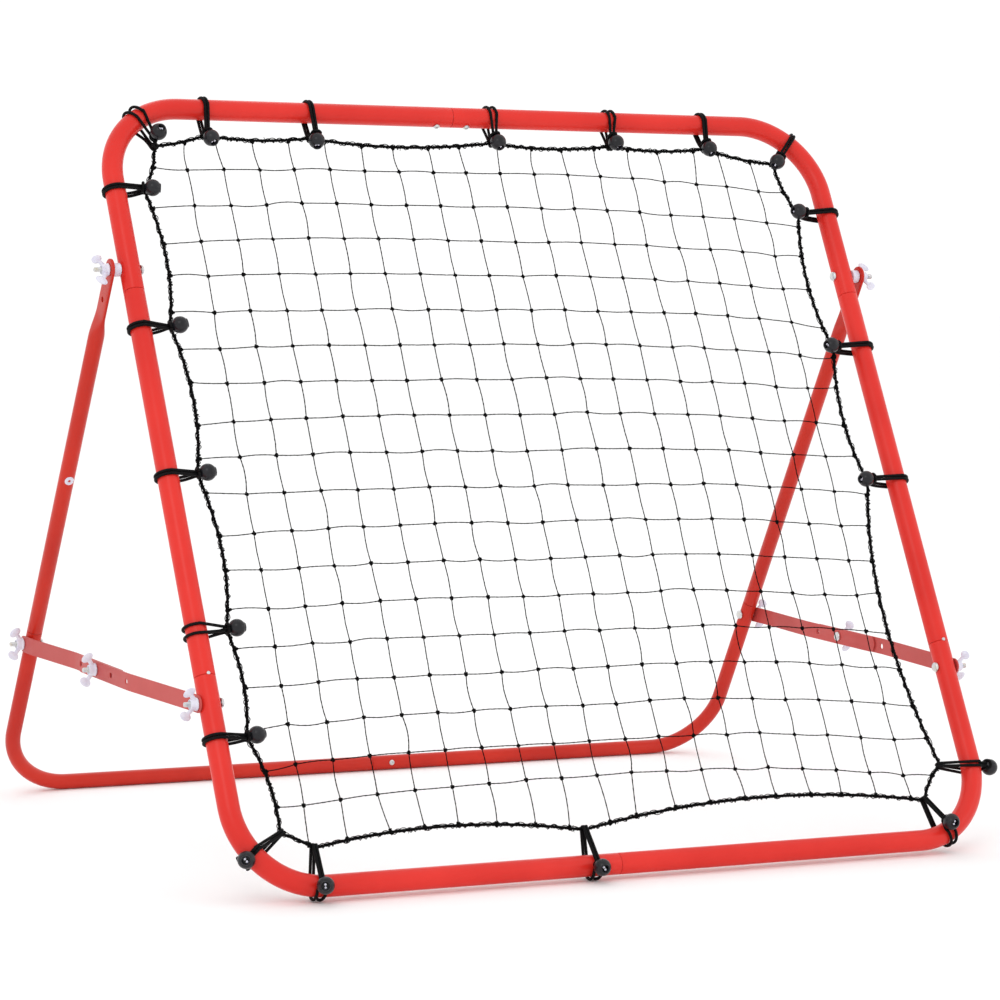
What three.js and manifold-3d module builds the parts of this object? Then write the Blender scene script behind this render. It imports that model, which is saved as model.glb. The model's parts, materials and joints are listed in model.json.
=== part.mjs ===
// Pitch back rebounder: a square net held by elastic ball ties in a leaning tube frame, with a rear
// stand that hinges on the frame's side tubes and is held open by a two-bar brace on each side.
// Millimetres, +Z up, +X to the right seen from the net's playing side, +Y towards the rear stand.

import * as THREE from 'three';
import { mergeVertices } from 'three/addons/utils/BufferGeometryUtils.js';
import Module from 'manifold-3d';

const wasm = await Module();
wasm.setup();

// Driving dimensions
const FRAME_SPAN = 975;            // centre to centre of the frame's tubes, both ways
const FRAME_LEAN = 29.7 * Math.PI / 180;
const FRAME_RADIUS = 12.5;
const FRAME_BEND = 98;             // bend radius of a frame corner, on the tube's axis
const TUBE_WALL = 1.2;
const STAND_RADIUS = 9.5;
const STAND_BEND = 85;
const LEG_LENGTH = 754;            // top pivot to the axis of the stand's floor tube
const LEG_OFFSET = 24.5;           // leg's axis outside the frame's side tube
const LEG_FLAT = 4;                // thickness of a leg's pressed top end
const LEG_FLAT_WIDTH = 26;
const PIVOT_UP = 758.4;            // top pivot, up the side tube from the bottom tube's axis
const UPPER_SEAM = 730;
const LOWER_SEAM = 250;
const TOP_SEAM_X = -27.5;
const BOTTOM_SEAM_X = -25;
const STAND_SEAM_UP = 240;         // seam between a leg and the floor tube, up the leg
const PLUG_WALL = 1;
const SPIGOT = 54;                 // length of a reduced tube end inside the next tube
const FRONT_BRACE_UP = 219.3;      // front brace bolt, up the side tube
const REAR_BRACE_UP = 220.7;       // rear brace bolt, up the leg
const BAR_WIDTH = 20;
const BAR_THICKNESS = 2;
const HOLE_PITCH = 50;
const MIDDLE_REARWARD = 25;        // the braces' middle bolt, behind the midpoint of its two end bolts
const BAR_FLAT = 12;               // the front bar lies flat this far from its end bolt, then slants
const LEG_SIDE_FLAT = 34;          // the rear bar lies flat this far, so that it folds clear of the leg
const FRONT_FLAT = 104;            // the front bar lies flat again from this far ahead of the middle bolt
const REAR_FLAT = 76;              // and the rear bar from this far behind it
const BOLT_RADIUS = 3;             // M6
const HOLE_RADIUS = 3.4;
const HEAD_RADIUS = 6;
const HEAD_HEIGHT = 4;
const NUT_LENGTH = 9;
const NUT_RADIUS = 6.5;
const WING_SPAN = 36;
const GAP = 0.3;                   // between pieces that touch
const TUBE_SIDES = 12;
const BORE_SIDES = 8;
const CORD = 3.6;                  // elastic cord of a tie, doubled side by side
const BALL_RADIUS = 10;
const ROPE = 4;
const LOOP_PLAY = 0.75;            // a tie's band stands off a tube by this and GAP
const ROPE_PLAY = 1.4;             // and off the rope by this and GAP
const NET_THICKNESS = 2;
const NET_CENTRE = [-2.5, 491.5];  // across and up the frame
const NET_HALF = [448.5, 448.5];
const NET_BEND = 66;

const HALF = FRAME_SPAN / 2;

// Finishes
const finish = (color, roughness, metalness) => (
  new THREE.MeshStandardMaterial({ color, roughness, metalness }));
const FRAME_PAINT = finish(0xe8352b, 0.35, 0.1);
const STAND_PAINT = finish(0xc93226, 0.38, 0.1);
const BAR_PAINT = finish(0xc2483f, 0.45, 0.1);
const ZINC = finish(0xb9bcc0, 0.3, 0.9);
const NYLON = finish(0xf1eef6, 0.5, 0);
const NET_BLACK = finish(0x151515, 0.85, 0);
const TIE_BLACK = finish(0x1b1b1d, 0.5, 0);

// Solids

/** A closed solid from a geometry, ready to cut and join. */
function solid(geometry) {
  const bare = geometry.clone();
  bare.deleteAttribute('normal');
  bare.deleteAttribute('uv');
  const merged = mergeVertices(bare, 1e-4);
  return new wasm.Manifold(new wasm.Mesh({
    numProp: 3,
    vertProperties: merged.attributes.position.array,
    triVerts: new Uint32Array(merged.index.array),
  }));
}

/** The geometry of a cut or joined solid. */
function geometryOf(manifold) {
  const { vertProperties, triVerts } = manifold.getMesh();
  const geometry = new THREE.BufferGeometry();
  geometry.setAttribute('position', new THREE.BufferAttribute(new Float32Array(vertProperties), 3));
  geometry.setIndex(new THREE.BufferAttribute(new Uint32Array(triVerts), 1));
  geometry.computeVertexNormals();
  return geometry;
}

/** A cylinder along +X from x0 to x1, through the point (y, z). */
function rodX(x0, x1, radius, y = 0, z = 0, sides = BORE_SIDES) {
  const geometry = new THREE.CylinderGeometry(radius, radius, x1 - x0, sides);
  geometry.rotateZ(-Math.PI / 2);
  geometry.translate((x0 + x1) / 2, y, z);
  return geometry;
}

/** A cylinder along +Z from z0 to z1. */
function rodZ(z0, z1, radius, x = 0, sides = BORE_SIDES) {
  const geometry = new THREE.CylinderGeometry(radius, radius, z1 - z0, sides);
  geometry.rotateX(Math.PI / 2);
  geometry.translate(x, 0, (z0 + z1) / 2);
  return geometry;
}

/** A route in the XZ plane: straights with one round bend, with steps spent only on the bend. */
class BentRoute extends THREE.Curve {
  constructor(start, corner, end, radius, bendSteps = 5) {
    super();
    const a = new THREE.Vector3(start[0], 0, start[1]);
    const b = new THREE.Vector3(corner[0], 0, corner[1]);
    const c = new THREE.Vector3(end[0], 0, end[1]);
    const into = b.clone().sub(a).normalize();
    const out = c.clone().sub(b).normalize();
    const centre = b.clone().addScaledVector(into, -radius).addScaledVector(out, radius);
    this.stations = [{ point: a, tangent: into }];
    for (let i = 0; i <= bendSteps; i += 1) {
      const turn = (i / bendSteps) * Math.PI / 2;
      const point = centre.clone().addScaledVector(out, -radius * Math.cos(turn))
        .addScaledVector(into, radius * Math.sin(turn));
      const tangent = into.clone().multiplyScalar(Math.cos(turn)).addScaledVector(out, Math.sin(turn));
      this.stations.push({ point, tangent });
    }
    this.stations.push({ point: c, tangent: out });
  }

  get steps() {
    return this.stations.length - 1;
  }

  getUtoTmapping(u) {
    return u;
  }

  getPoint(t) {
    const place = t * this.steps;
    const i = Math.min(Math.floor(place), this.steps - 1);
    return this.stations[i].point.clone().lerp(this.stations[i + 1].point, place - i);
  }

  getTangent(t) {
    return this.stations[Math.round(t * this.steps)].tangent.clone();
  }
}

/** A round section of flat sides, turned so that a flat faces the angle given. */
function roundSection(radius, sides, facing = 0) {
  const points = [];
  for (let i = 0; i < sides; i += 1) {
    const angle = facing + (i + 0.5) * 2 * Math.PI / sides;
    points.push(new THREE.Vector2(radius * Math.cos(angle), radius * Math.sin(angle)));
  }
  return new THREE.Shape(points);
}

/** A solid round bar along a route. */
function bentBar(route, radius, sides, facing = 0) {
  return solid(new THREE.ExtrudeGeometry(roundSection(radius, sides, facing), {
    steps: route.steps,
    extrudePath: route,
    bevelEnabled: false,
  }));
}

/** A bent hollow tube, open at both ends. */
function bentTube(start, corner, end, radius, bend, facing = 0) {
  const overrun = 1;
  const lengthen = (from, to) => {
    const span = Math.hypot(to[0] - from[0], to[1] - from[1]);
    return to.map((value, i) => value + (value - from[i]) / span * overrun);
  };
  const outer = bentBar(new BentRoute(start, corner, end, bend), radius, TUBE_SIDES, facing);
  const boreRoute = new BentRoute(lengthen(corner, start), corner, lengthen(corner, end), bend);
  return outer.subtract(bentBar(boreRoute, radius - TUBE_WALL, BORE_SIDES, facing));
}

/** A flat plate lying in the YZ plane, its thickness from x0 to x1. */
function plateX(shape, x0, x1, curveSegments = 5) {
  const geometry = new THREE.ExtrudeGeometry(shape, { depth: x1 - x0, bevelEnabled: false, curveSegments });
  geometry.rotateX(Math.PI / 2);
  geometry.rotateZ(Math.PI / 2);
  geometry.translate(x0, 0, 0);
  return geometry;
}

/** The largest radius of a plug that fits a tube's bore, which has flat sides. */
const plugRadius = (radius) => (radius - TUBE_WALL) * Math.cos(Math.PI / BORE_SIDES) - GAP;

/** A reduced tube end along X or Z that plugs into the next tube, with a shoulder inside its own. */
function spigot(rod, from, to, radius, ...place) {
  const outer = plugRadius(radius);
  const shoulder = 5 * Math.sign(to - from);
  const neckRadius = radius - TUBE_WALL / 3;
  const neck = rod(Math.min(from, from - shoulder), Math.max(from, from - shoulder), neckRadius, ...place);
  const plug = rod(Math.min(from - shoulder, to), Math.max(from - shoulder, to), outer, ...place);
  return solid(neck).add(solid(plug));
}

// Assembly groups
const rebounder = new THREE.Group();
const whole = new THREE.Group();
const frame = new THREE.Group();
rebounder.add(whole);
whole.add(frame);

/** Adds a named piece to a group. */
function piece(group, name, shape, material) {
  const geometry = shape.getMesh ? geometryOf(shape) : shape;
  const mesh = new THREE.Mesh(geometry, material);
  mesh.name = name;
  group.add(mesh);
  return mesh;
}

const sides = [
  { name: 'left', sign: -1 },
  { name: 'right', sign: 1 },
];

// Front frame: four bent corners and two straight side tubes, in the frame's own upright plane

const acrossHole = (sign, up, radius) => solid(
  rodX(sign * HALF - radius - 6, sign * HALF + radius + 6, HOLE_RADIUS, 0, up));

/** The plug that reduces a tube along X or Z to fit the next tube's bore. */
function hollowPlug(rod, from, to, radius, ...place) {
  const end = to + Math.sign(to - from);
  const inside = plugRadius(radius) - PLUG_WALL;
  const back = from - 6 * Math.sign(to - from);
  const bore = solid(rod(Math.min(back, end), Math.max(back, end), inside, ...place));
  return spigot(rod, from, to, radius, ...place).subtract(bore);
}

for (const { name, sign } of sides) {
  const x = sign * HALF;
  const topEnd = TOP_SEAM_X + sign * GAP / 2;
  const bottomEnd = BOTTOM_SEAM_X + sign * GAP / 2;
  const pivotHole = acrossHole(sign, PIVOT_UP, FRAME_RADIUS);
  const braceHole = acrossHole(sign, FRONT_BRACE_UP, FRAME_RADIUS);

  const upper = bentTube([x, UPPER_SEAM], [x, FRAME_SPAN], [topEnd, FRAME_SPAN], FRAME_RADIUS, FRAME_BEND)
    .subtract(pivotHole)
    .subtract(solid(rodZ(FRAME_SPAN - 16, FRAME_SPAN - 8, 2.4, TOP_SEAM_X + sign * 20.5)));
  piece(frame, `front_upper_corner_${name}`, upper, FRAME_PAINT);

  let lower = bentTube([x, LOWER_SEAM], [x, 0], [bottomEnd, 0], FRAME_RADIUS, FRAME_BEND)
    .subtract(braceHole);
  if (sign < 0) {
    lower = lower.add(hollowPlug(rodX, bottomEnd, bottomEnd + SPIGOT, FRAME_RADIUS));
  }
  piece(frame, `front_lower_corner_${name}`, lower, FRAME_PAINT);

  const low = LOWER_SEAM + GAP;
  const high = UPPER_SEAM - GAP;
  const bore = FRAME_RADIUS - TUBE_WALL;
  const body = solid(rodZ(low, high, FRAME_RADIUS, x, TUBE_SIDES))
    .subtract(solid(rodZ(low + 4, high - 4, bore, x)));
  const side = body
    .add(spigot(rodZ, low, low - SPIGOT, FRAME_RADIUS, x))
    .add(spigot(rodZ, high, high + SPIGOT, FRAME_RADIUS, x))
    .subtract(solid(rodZ(low - SPIGOT - 1, high + SPIGOT + 1, plugRadius(FRAME_RADIUS) - PLUG_WALL, x)))
    .subtract(pivotHole)
    .subtract(braceHole);
  piece(frame, `front_side_tube_${name}`, side, FRAME_PAINT);
}

const sleeveRadius = plugRadius(FRAME_RADIUS);
const sleeve = solid(rodX(TOP_SEAM_X - 45, TOP_SEAM_X + 45, sleeveRadius, 0, FRAME_SPAN))
  .subtract(solid(rodX(TOP_SEAM_X - 46, TOP_SEAM_X + 46, sleeveRadius - TUBE_WALL, 0, FRAME_SPAN)))
  .subtract(solid(rodZ(FRAME_SPAN - 14, FRAME_SPAN - 5, 2.4, TOP_SEAM_X - 20.5)))
  .subtract(solid(rodZ(FRAME_SPAN - 14, FRAME_SPAN - 5, 2.4, TOP_SEAM_X + 20.5)));
piece(frame, 'top_bar_sleeve', sleeve, ZINC);

// Net and its edge rope

/** The outline of a rounded rectangle round the net's centre, drawn at a distance inside the rope. */
function netOutline(inset) {
  const [cx, cz] = NET_CENTRE;
  const [hx, hz] = NET_HALF.map((half) => half - inset);
  const r = NET_BEND - inset;
  const shape = new THREE.Shape();
  shape.moveTo(cx + hx, cz + hz - r);
  shape.absarc(cx + hx - r, cz + hz - r, r, 0, Math.PI / 2);
  shape.absarc(cx - hx + r, cz + hz - r, r, Math.PI / 2, Math.PI);
  shape.absarc(cx - hx + r, cz - hz + r, r, Math.PI, 1.5 * Math.PI);
  shape.absarc(cx + hx - r, cz - hz + r, r, 1.5 * Math.PI, 2 * Math.PI);
  return shape;
}

/** A flat piece in the frame's plane, centred on the plane of the tubes' axes. */
function panel(shape, thickness) {
  const options = { depth: thickness, bevelEnabled: false, curveSegments: 4 };
  const geometry = new THREE.ExtrudeGeometry(shape, options);
  geometry.rotateX(Math.PI / 2);
  geometry.translate(0, thickness / 2, 0);
  return geometry;
}

const ropeShape = netOutline(-ROPE / 2);
ropeShape.holes.push(netOutline(ROPE / 2));
piece(frame, 'net_edge_rope', panel(ropeShape, ROPE), NET_BLACK);

// Ties: an elastic loop round the tube and the rope, with a ball on its front run.
// Each has a place on the tube, a place on the rope, and where its ball sits.
const rope = {
  left: NET_CENTRE[0] - NET_HALF[0],
  right: NET_CENTRE[0] + NET_HALF[0],
  top: NET_CENTRE[1] + NET_HALF[1],
  bottom: NET_CENTRE[1] - NET_HALF[1],
};

// Where a tie's ball sits: how far along the tie and how far out in front, from the rope or the tube
const PAST_ROPE = { fromRope: true, along: 8.5, lift: 10 };
const BEFORE_ROPE = { fromRope: true, along: -7, lift: 14 };
const ON_TUBE = { fromRope: false, along: -11, lift: 21.5 };
const BELOW_TUBE = { fromRope: false, along: -22, lift: 11.5 };
const OVER_TUBE = { fromRope: false, along: 3, lift: 24 };
const OUTSIDE = { fromRope: false, along: -24, lift: 3 };

/** A tie on a bend, at an angle in degrees above or below the level of the bend's centre. */
function bendTie(name, signX, signZ, angle, ball) {
  const turn = angle * Math.PI / 180;
  const outward = new THREE.Vector2(signX * Math.cos(turn), signZ * Math.sin(turn));
  const middle = new THREE.Vector2(0, HALF);
  const tubeBend = new THREE.Vector2(signX, signZ).multiplyScalar(HALF - FRAME_BEND).add(middle);
  const ropeBend = new THREE.Vector2(...NET_CENTRE).add(
    new THREE.Vector2(signX * (NET_HALF[0] - NET_BEND), signZ * (NET_HALF[1] - NET_BEND)));
  const at = tubeBend.clone().addScaledVector(outward, FRAME_BEND);
  const away = at.clone().sub(ropeBend);
  const lead = away.dot(outward);
  const reach = lead - Math.sqrt(lead * lead - away.lengthSq() + NET_BEND * NET_BEND);
  const to = at.clone().addScaledVector(outward, -reach);
  return { name, at: at.toArray(), to: to.toArray(), ball };
}

/** A tie across a straight tube, at a place along it. */
const topTie = (x, i) => (
  { name: `top_${i + 1}`, at: [x, FRAME_SPAN], to: [x, rope.top], ball: PAST_ROPE });
const bottomTie = (x, i) => (
  { name: `bottom_${i + 1}`, at: [x, 0], to: [x, rope.bottom], ball: ON_TUBE });
const leftTie = (up, i) => (
  { name: `left_${i + 1}`, at: [-HALF, up], to: [rope.left, up], ball: PAST_ROPE });
const rightTie = (up, i) => (
  { name: `right_${i + 1}`, at: [HALF, up], to: [rope.right, up], ball: PAST_ROPE });

const ties = [
  bendTie('top_left_corner', -1, 1, 50, BEFORE_ROPE),
  ...[-361, -223, 24, 191, 330].map(topTie),
  bendTie('top_right_corner', 1, 1, 49, PAST_ROPE),
  ...[847, 654, 470].map(rightTie),
  bendTie('right_4', 1, -1, 6, OUTSIDE),
  bendTie('bottom_right_corner', 1, -1, 68, OVER_TUBE),
  bottomTie(-58, 1),
  bendTie('bottom_1', -1, -1, 83, ON_TUBE),
  bendTie('bottom_left_corner', -1, -1, 39, BELOW_TUBE),
  ...[864, 686, 498, 306, 177].map(leftTie),
];

/** A belt round two pulleys, the first at the origin and the second at a distance along X. */
function belt(distance, radius, farRadius) {
  const tilt = Math.acos((radius - farRadius) / distance);
  const shape = new THREE.Shape();
  shape.absarc(0, 0, radius, tilt, 2 * Math.PI - tilt);
  shape.absarc(distance, 0, farRadius, -tilt, tilt);
  return shape;
}

/** One tie: a flat band round the tube and the rope, joined to its ball. */
function tie({ at, to, ball }) {
  const run = new THREE.Vector2(to[0] - at[0], to[1] - at[1]);
  const distance = run.length();
  const innerTube = FRAME_RADIUS + GAP + LOOP_PLAY;
  const innerRope = ROPE * Math.SQRT1_2 + GAP + ROPE_PLAY;
  const band = belt(distance, innerTube + CORD, innerRope + CORD);
  band.holes.push(belt(distance, innerTube, innerRope));
  const flat = { depth: 2 * CORD, bevelEnabled: false, curveSegments: 4 };
  const geometry = new THREE.ExtrudeGeometry(band, flat);
  geometry.translate(0, 0, -CORD);
  const knob = new THREE.SphereGeometry(BALL_RADIUS, 8, 6);
  knob.translate(ball.along + (ball.fromRope ? distance : 0), ball.lift, 0);
  const place = new THREE.Matrix4().makeBasis(
    new THREE.Vector3(run.x / distance, 0, run.y / distance),
    new THREE.Vector3(0, -1, 0),
    new THREE.Vector3(run.y / distance, 0, -run.x / distance),
  ).setPosition(at[0], 0, at[1]);
  const shape = geometryOf(solid(geometry).add(solid(knob)));
  return shape.applyMatrix4(place);
}

for (const entry of ties) {
  piece(frame, `ball_tie_${entry.name}`, tie(entry), TIE_BLACK);
}

// The net's panel stops short of the rope, and is notched where the loops pass through its meshes.
const netPanel = solid(panel(netOutline(ROPE / 2 + GAP), NET_THICKNESS));
const NOTCH = [30, 40, 2 * CORD + 2];
const notches = ties.map(({ at, to, ball }) => {
  const run = Math.atan2(to[1] - at[1], to[0] - at[0]);
  const notch = new THREE.BoxGeometry(...NOTCH);
  notch.rotateY(-run);
  notch.translate(to[0], ball.fromRope ? -NOTCH[0] / 2 : 0, to[1]);
  return solid(notch);
});
const net = notches.reduce((left, notch) => left.subtract(notch), netPanel);
piece(frame, 'net', net, NET_BLACK);

// Fasteners

/** A bolt along +X with a low domed head at its start. */
function bolt(headX, tipX) {
  const face = headX + HEAD_HEIGHT;
  const profile = [
    [0, headX],
    [0.7 * HEAD_RADIUS, headX + 0.8],
    [HEAD_RADIUS, face - 1],
    [HEAD_RADIUS, face],
    [BOLT_RADIUS, face],
    [BOLT_RADIUS, tipX - 0.8],
    [BOLT_RADIUS - 0.8, tipX],
    [0, tipX],
  ].map(([radius, x]) => new THREE.Vector2(radius, x));
  const geometry = new THREE.LatheGeometry(profile, 10);
  geometry.rotateZ(-Math.PI / 2);
  return geometry;
}

/** A mirrored geometry with its faces turned to point out again. */
function flipped(geometry) {
  const merged = geometry.index ? geometry.toNonIndexed() : geometry;
  const { position } = merged.attributes;
  for (let i = 0; i < position.count; i += 3) {
    const [ax, ay, az] = [position.getX(i), position.getY(i), position.getZ(i)];
    position.setXYZ(i, position.getX(i + 1), position.getY(i + 1), position.getZ(i + 1));
    position.setXYZ(i + 1, ax, ay, az);
  }
  return merged;
}

/** A nylon wing nut along +X, its base at the origin. */
function wingNut() {
  const hub = solid(rodX(0, NUT_LENGTH, NUT_RADIUS, 0, 0, 12));
  const wing = new THREE.Shape();
  const reach = WING_SPAN / 2;
  wing.moveTo(2, 1);
  wing.lineTo(NUT_RADIUS, 1);
  wing.lineTo(reach - 3, NUT_LENGTH - 2);
  wing.quadraticCurveTo(reach + 1, NUT_LENGTH + 2, reach - 3, NUT_LENGTH + 6);
  wing.lineTo(NUT_RADIUS - 1, NUT_LENGTH - 1);
  wing.lineTo(2, NUT_LENGTH - 1);
  const wings = [0, Math.PI].map((turn) => {
    const geometry = new THREE.ExtrudeGeometry(wing, { depth: 3, bevelEnabled: false, curveSegments: 3 });
    geometry.translate(0, 0, -1.5);
    geometry.rotateZ(Math.PI / 2);
    geometry.scale(-1, 1, 1);
    geometry.rotateX(turn);
    return solid(flipped(geometry));
  });
  const bore = solid(rodX(-1, NUT_LENGTH + 1, BOLT_RADIUS + 0.35, 0, 0, 10));
  return hub.add(wings[0]).add(wings[1]).subtract(bore);
}

/** A solid moved along X. */
function placed(manifold, x) {
  return geometryOf(manifold).translate(x, 0, 0);
}

/** Places a piece made for the right side, along +X from the side tube's axis, on either side. */
function onSide(group, sign, name, shape, material, y, z, turn = 0) {
  const mesh = piece(group, name, shape, material);
  mesh.position.set(sign * HALF, y, z);
  mesh.rotation.set(turn, 0, sign < 0 ? Math.PI : 0);
  return mesh;
}

const headAt = (surface) => surface - GAP - HEAD_HEIGHT;
const barAt = FRAME_RADIUS + GAP;                    // front brace bar's inner face
const BAR_STEP = GAP + BAR_THICKNESS;                // from the rear bar's inner face to the front bar's
const legOuter = LEG_OFFSET + STAND_RADIUS + GAP;    // rear brace bar's inner face at the leg
const nutOn = (surface) => surface + GAP;
const spacerEnd = LEG_OFFSET - LEG_FLAT / 2 - GAP;
const legFace = LEG_OFFSET + LEG_FLAT / 2;

for (const { name, sign } of sides) {
  const tubeFace = -FRAME_RADIUS;
  const barFace = barAt + BAR_THICKNESS;
  const pivotBolt = bolt(headAt(tubeFace), legFace + NUT_LENGTH + 9);
  const braceBolt = bolt(headAt(tubeFace), barFace + NUT_LENGTH + 7);
  onSide(frame, sign, `pivot_bolt_${name}`, pivotBolt, ZINC, 0, PIVOT_UP);
  onSide(frame, sign, `front_brace_bolt_${name}`, braceBolt, ZINC, 0, FRONT_BRACE_UP);
  const pivotNut = placed(wingNut(), nutOn(legFace));
  const braceNut = placed(wingNut(), nutOn(barFace));
  onSide(frame, sign, `pivot_wing_nut_${name}`, pivotNut, NYLON, 0, PIVOT_UP, 0.5);
  onSide(frame, sign, `front_brace_wing_nut_${name}`, braceNut, NYLON, 0, FRONT_BRACE_UP, 0.15);
  const spacer = solid(rodX(FRAME_RADIUS + GAP, spacerEnd, 8, 0, 0, 12))
    .subtract(solid(rodX(0, spacerEnd + 1, HOLE_RADIUS)));
  onSide(frame, sign, `pivot_spacer_${name}`, spacer, NYLON, 0, PIVOT_UP);
}

/** A small screw along an axis, its head at the origin and its shank of a given length. */
function screw(headRadius, length) {
  const profile = [
    [0, -2.4],
    [headRadius * 0.7, -2],
    [headRadius, -0.6],
    [headRadius, 0],
    [2, 0],
    [2, length],
    [0, length],
  ].map(([radius, y]) => new THREE.Vector2(radius, y));
  return new THREE.LatheGeometry(profile, 8);
}

for (const [i, offset] of [-20.5, 20.5].entries()) {
  const mesh = piece(frame, `top_bar_screw_${i + 1}`, screw(4, 6), ZINC);
  mesh.position.set(TOP_SEAM_X + offset, 0, FRAME_SPAN - FRAME_RADIUS - GAP);
  mesh.rotation.x = Math.PI / 2;
}

// The frame leans back and stands on the cord of its bottom ties.
frame.rotation.x = -FRAME_LEAN;
frame.updateMatrixWorld(true);
frame.position.z = -new THREE.Box3().setFromObject(frame, true).min.z;

/** A place on the side tube's axis, as [y, z] in the assembly. */
const upFrame = (up) => [up * Math.sin(FRAME_LEAN), frame.position.z + up * Math.cos(FRAME_LEAN)];

// Rear stand: two legs and a floor tube in two halves, in the stand's own upright plane below the pivots

const [pivotY, pivotZ] = upFrame(PIVOT_UP);
const standLean = Math.acos((pivotZ - STAND_RADIUS) / LEG_LENGTH);
const stand = new THREE.Group();
stand.position.set(0, pivotY, pivotZ);
stand.rotation.x = standLean;
whole.add(stand);

const LEG_X = HALF + LEG_OFFSET;
const floorSide = STAND_RADIUS / Math.cos(Math.PI / TUBE_SIDES);
const seamZ = STAND_SEAM_UP - LEG_LENGTH;
const screwLine = -(standLean + 5 * Math.PI / 180);

/** A leg: a tube pressed flat and rounded at its top end, with a plug at its lower end. */
function leg(sign) {
  const top = 13;
  const heights = [-95, -75, -60, top];
  const bottom = seamZ + GAP;
  const length = top - bottom;
  const blank = new THREE.CylinderGeometry(STAND_RADIUS, STAND_RADIUS, length, TUBE_SIDES, 4);
  blank.rotateX(Math.PI / 2);
  const { position } = blank.attributes;
  const rows = [bottom, ...heights];
  const spread = [1, 1, 1.2, LEG_FLAT_WIDTH / (2 * STAND_RADIUS), LEG_FLAT_WIDTH / (2 * STAND_RADIUS)];
  const press = [1, 1, 0.6, LEG_FLAT / (2 * STAND_RADIUS), LEG_FLAT / (2 * STAND_RADIUS)];
  for (let i = 0; i < position.count; i += 1) {
    const row = Math.round((position.getZ(i) / length + 0.5) * 4);
    position.setXYZ(i, position.getX(i) * press[row], position.getY(i) * spread[row], rows[row]);
  }
  const outline = new THREE.Shape();
  outline.moveTo(-40, bottom - 5);
  outline.lineTo(40, bottom - 5);
  outline.lineTo(40, 0);
  outline.lineTo(top, 0);
  outline.absarc(0, 0, top, 0, Math.PI);
  outline.lineTo(-40, 0);
  const trimmed = solid(blank).intersect(solid(plateX(outline, -30, 30)));
  const hole = (z, radius) => solid(rodX(-30, 30, radius, 0, z));
  const shape = trimmed
    .subtract(solid(rodZ(bottom + 4, -98, STAND_RADIUS - TUBE_WALL)))
    .add(spigot(rodZ, bottom, bottom - SPIGOT, STAND_RADIUS, 0))
    .subtract(solid(rodZ(bottom - SPIGOT - 1, bottom + 6, plugRadius(STAND_RADIUS) - PLUG_WALL)))
    .subtract(hole(0, HOLE_RADIUS))
    .subtract(hole(-40, HOLE_RADIUS))
    .subtract(hole(REAR_BRACE_UP - LEG_LENGTH, HOLE_RADIUS));
  return geometryOf(shape).translate(sign * LEG_X, 0, 0);
}

for (const { name, sign } of sides) {
  piece(stand, `rear_leg_${name}`, leg(sign), STAND_PAINT);
  const seamX = sign * GAP / 2;
  const legX = sign * LEG_X;
  const rearUp = REAR_BRACE_UP - LEG_LENGTH;
  let half = bentTube([legX, seamZ], [legX, -LEG_LENGTH], [seamX, -LEG_LENGTH],
    floorSide, STAND_BEND, sign * standLean)
    .subtract(solid(rodX(legX - 20, legX + 20, HOLE_RADIUS, 0, rearUp)));
  if (sign < 0) {
    half = half.add(hollowPlug(rodX, seamX, seamX + SPIGOT, STAND_RADIUS, 0, -LEG_LENGTH));
  }
  const screwHole = rodZ(0, 14, 2.4);
  screwHole.rotateX(Math.PI / 2 + screwLine);
  screwHole.translate(SPIGOT / 2, 0, -LEG_LENGTH);
  piece(stand, `stand_floor_tube_${name}`, half.subtract(solid(screwHole)), STAND_PAINT);
  const innerFace = LEG_OFFSET - floorSide;
  const rearBarFace = legOuter + BAR_THICKNESS;
  const rearBolt = bolt(headAt(innerFace), rearBarFace + NUT_LENGTH + 8);
  const rearNut = placed(wingNut(), nutOn(rearBarFace));
  onSide(stand, sign, `rear_brace_bolt_${name}`, rearBolt, ZINC, 0, rearUp);
  onSide(stand, sign, `rear_brace_wing_nut_${name}`, rearNut, NYLON, 0, rearUp, -0.1);
}

const floorScrew = screw(3.6, 6).translate(0, -floorSide - 0.1, 0);
const floorScrewMesh = piece(stand, 'floor_tube_screw', floorScrew, ZINC);
floorScrewMesh.position.set(SPIGOT / 2, 0, -LEG_LENGTH);
floorScrewMesh.rotation.x = screwLine;

// Braces: two flat bars on each side, bolted together at the middle

const [frontY, frontZ] = upFrame(FRONT_BRACE_UP);
const legUp = LEG_LENGTH - REAR_BRACE_UP;
const rearY = pivotY + legUp * Math.sin(standLean);
const rearZ = pivotZ - legUp * Math.cos(standLean);
const BRACE_SPAN = Math.hypot(rearY - frontY, rearZ - frontZ);
const braceSlope = Math.atan2(rearZ - frontZ, rearY - frontY);
const FRONT_REACH = BRACE_SPAN / 2 + MIDDLE_REARWARD;
const REAR_REACH = BRACE_SPAN - FRONT_REACH;
const FRONT_BAR_HOLES = [0, FRONT_REACH - 2 * HOLE_PITCH, FRONT_REACH - HOLE_PITCH, FRONT_REACH,
  FRONT_REACH + HOLE_PITCH];
const REAR_BAR_HOLES = [0, REAR_REACH - HOLE_PITCH, REAR_REACH];
const FRONT_BAR_END = FRONT_REACH + HOLE_PITCH + 10;
const REAR_BAR_END = REAR_REACH + HOLE_PITCH + 36;
const FLAT_RUNS = BAR_FLAT + LEG_SIDE_FLAT + FRONT_FLAT + REAR_FLAT;
const SLANT = (legOuter + BAR_STEP - barAt) / (BRACE_SPAN - FLAT_RUNS);
const middleAt = barAt + SLANT * (FRONT_REACH - FRONT_FLAT - BAR_FLAT);    // front bar's inner face there

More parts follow.
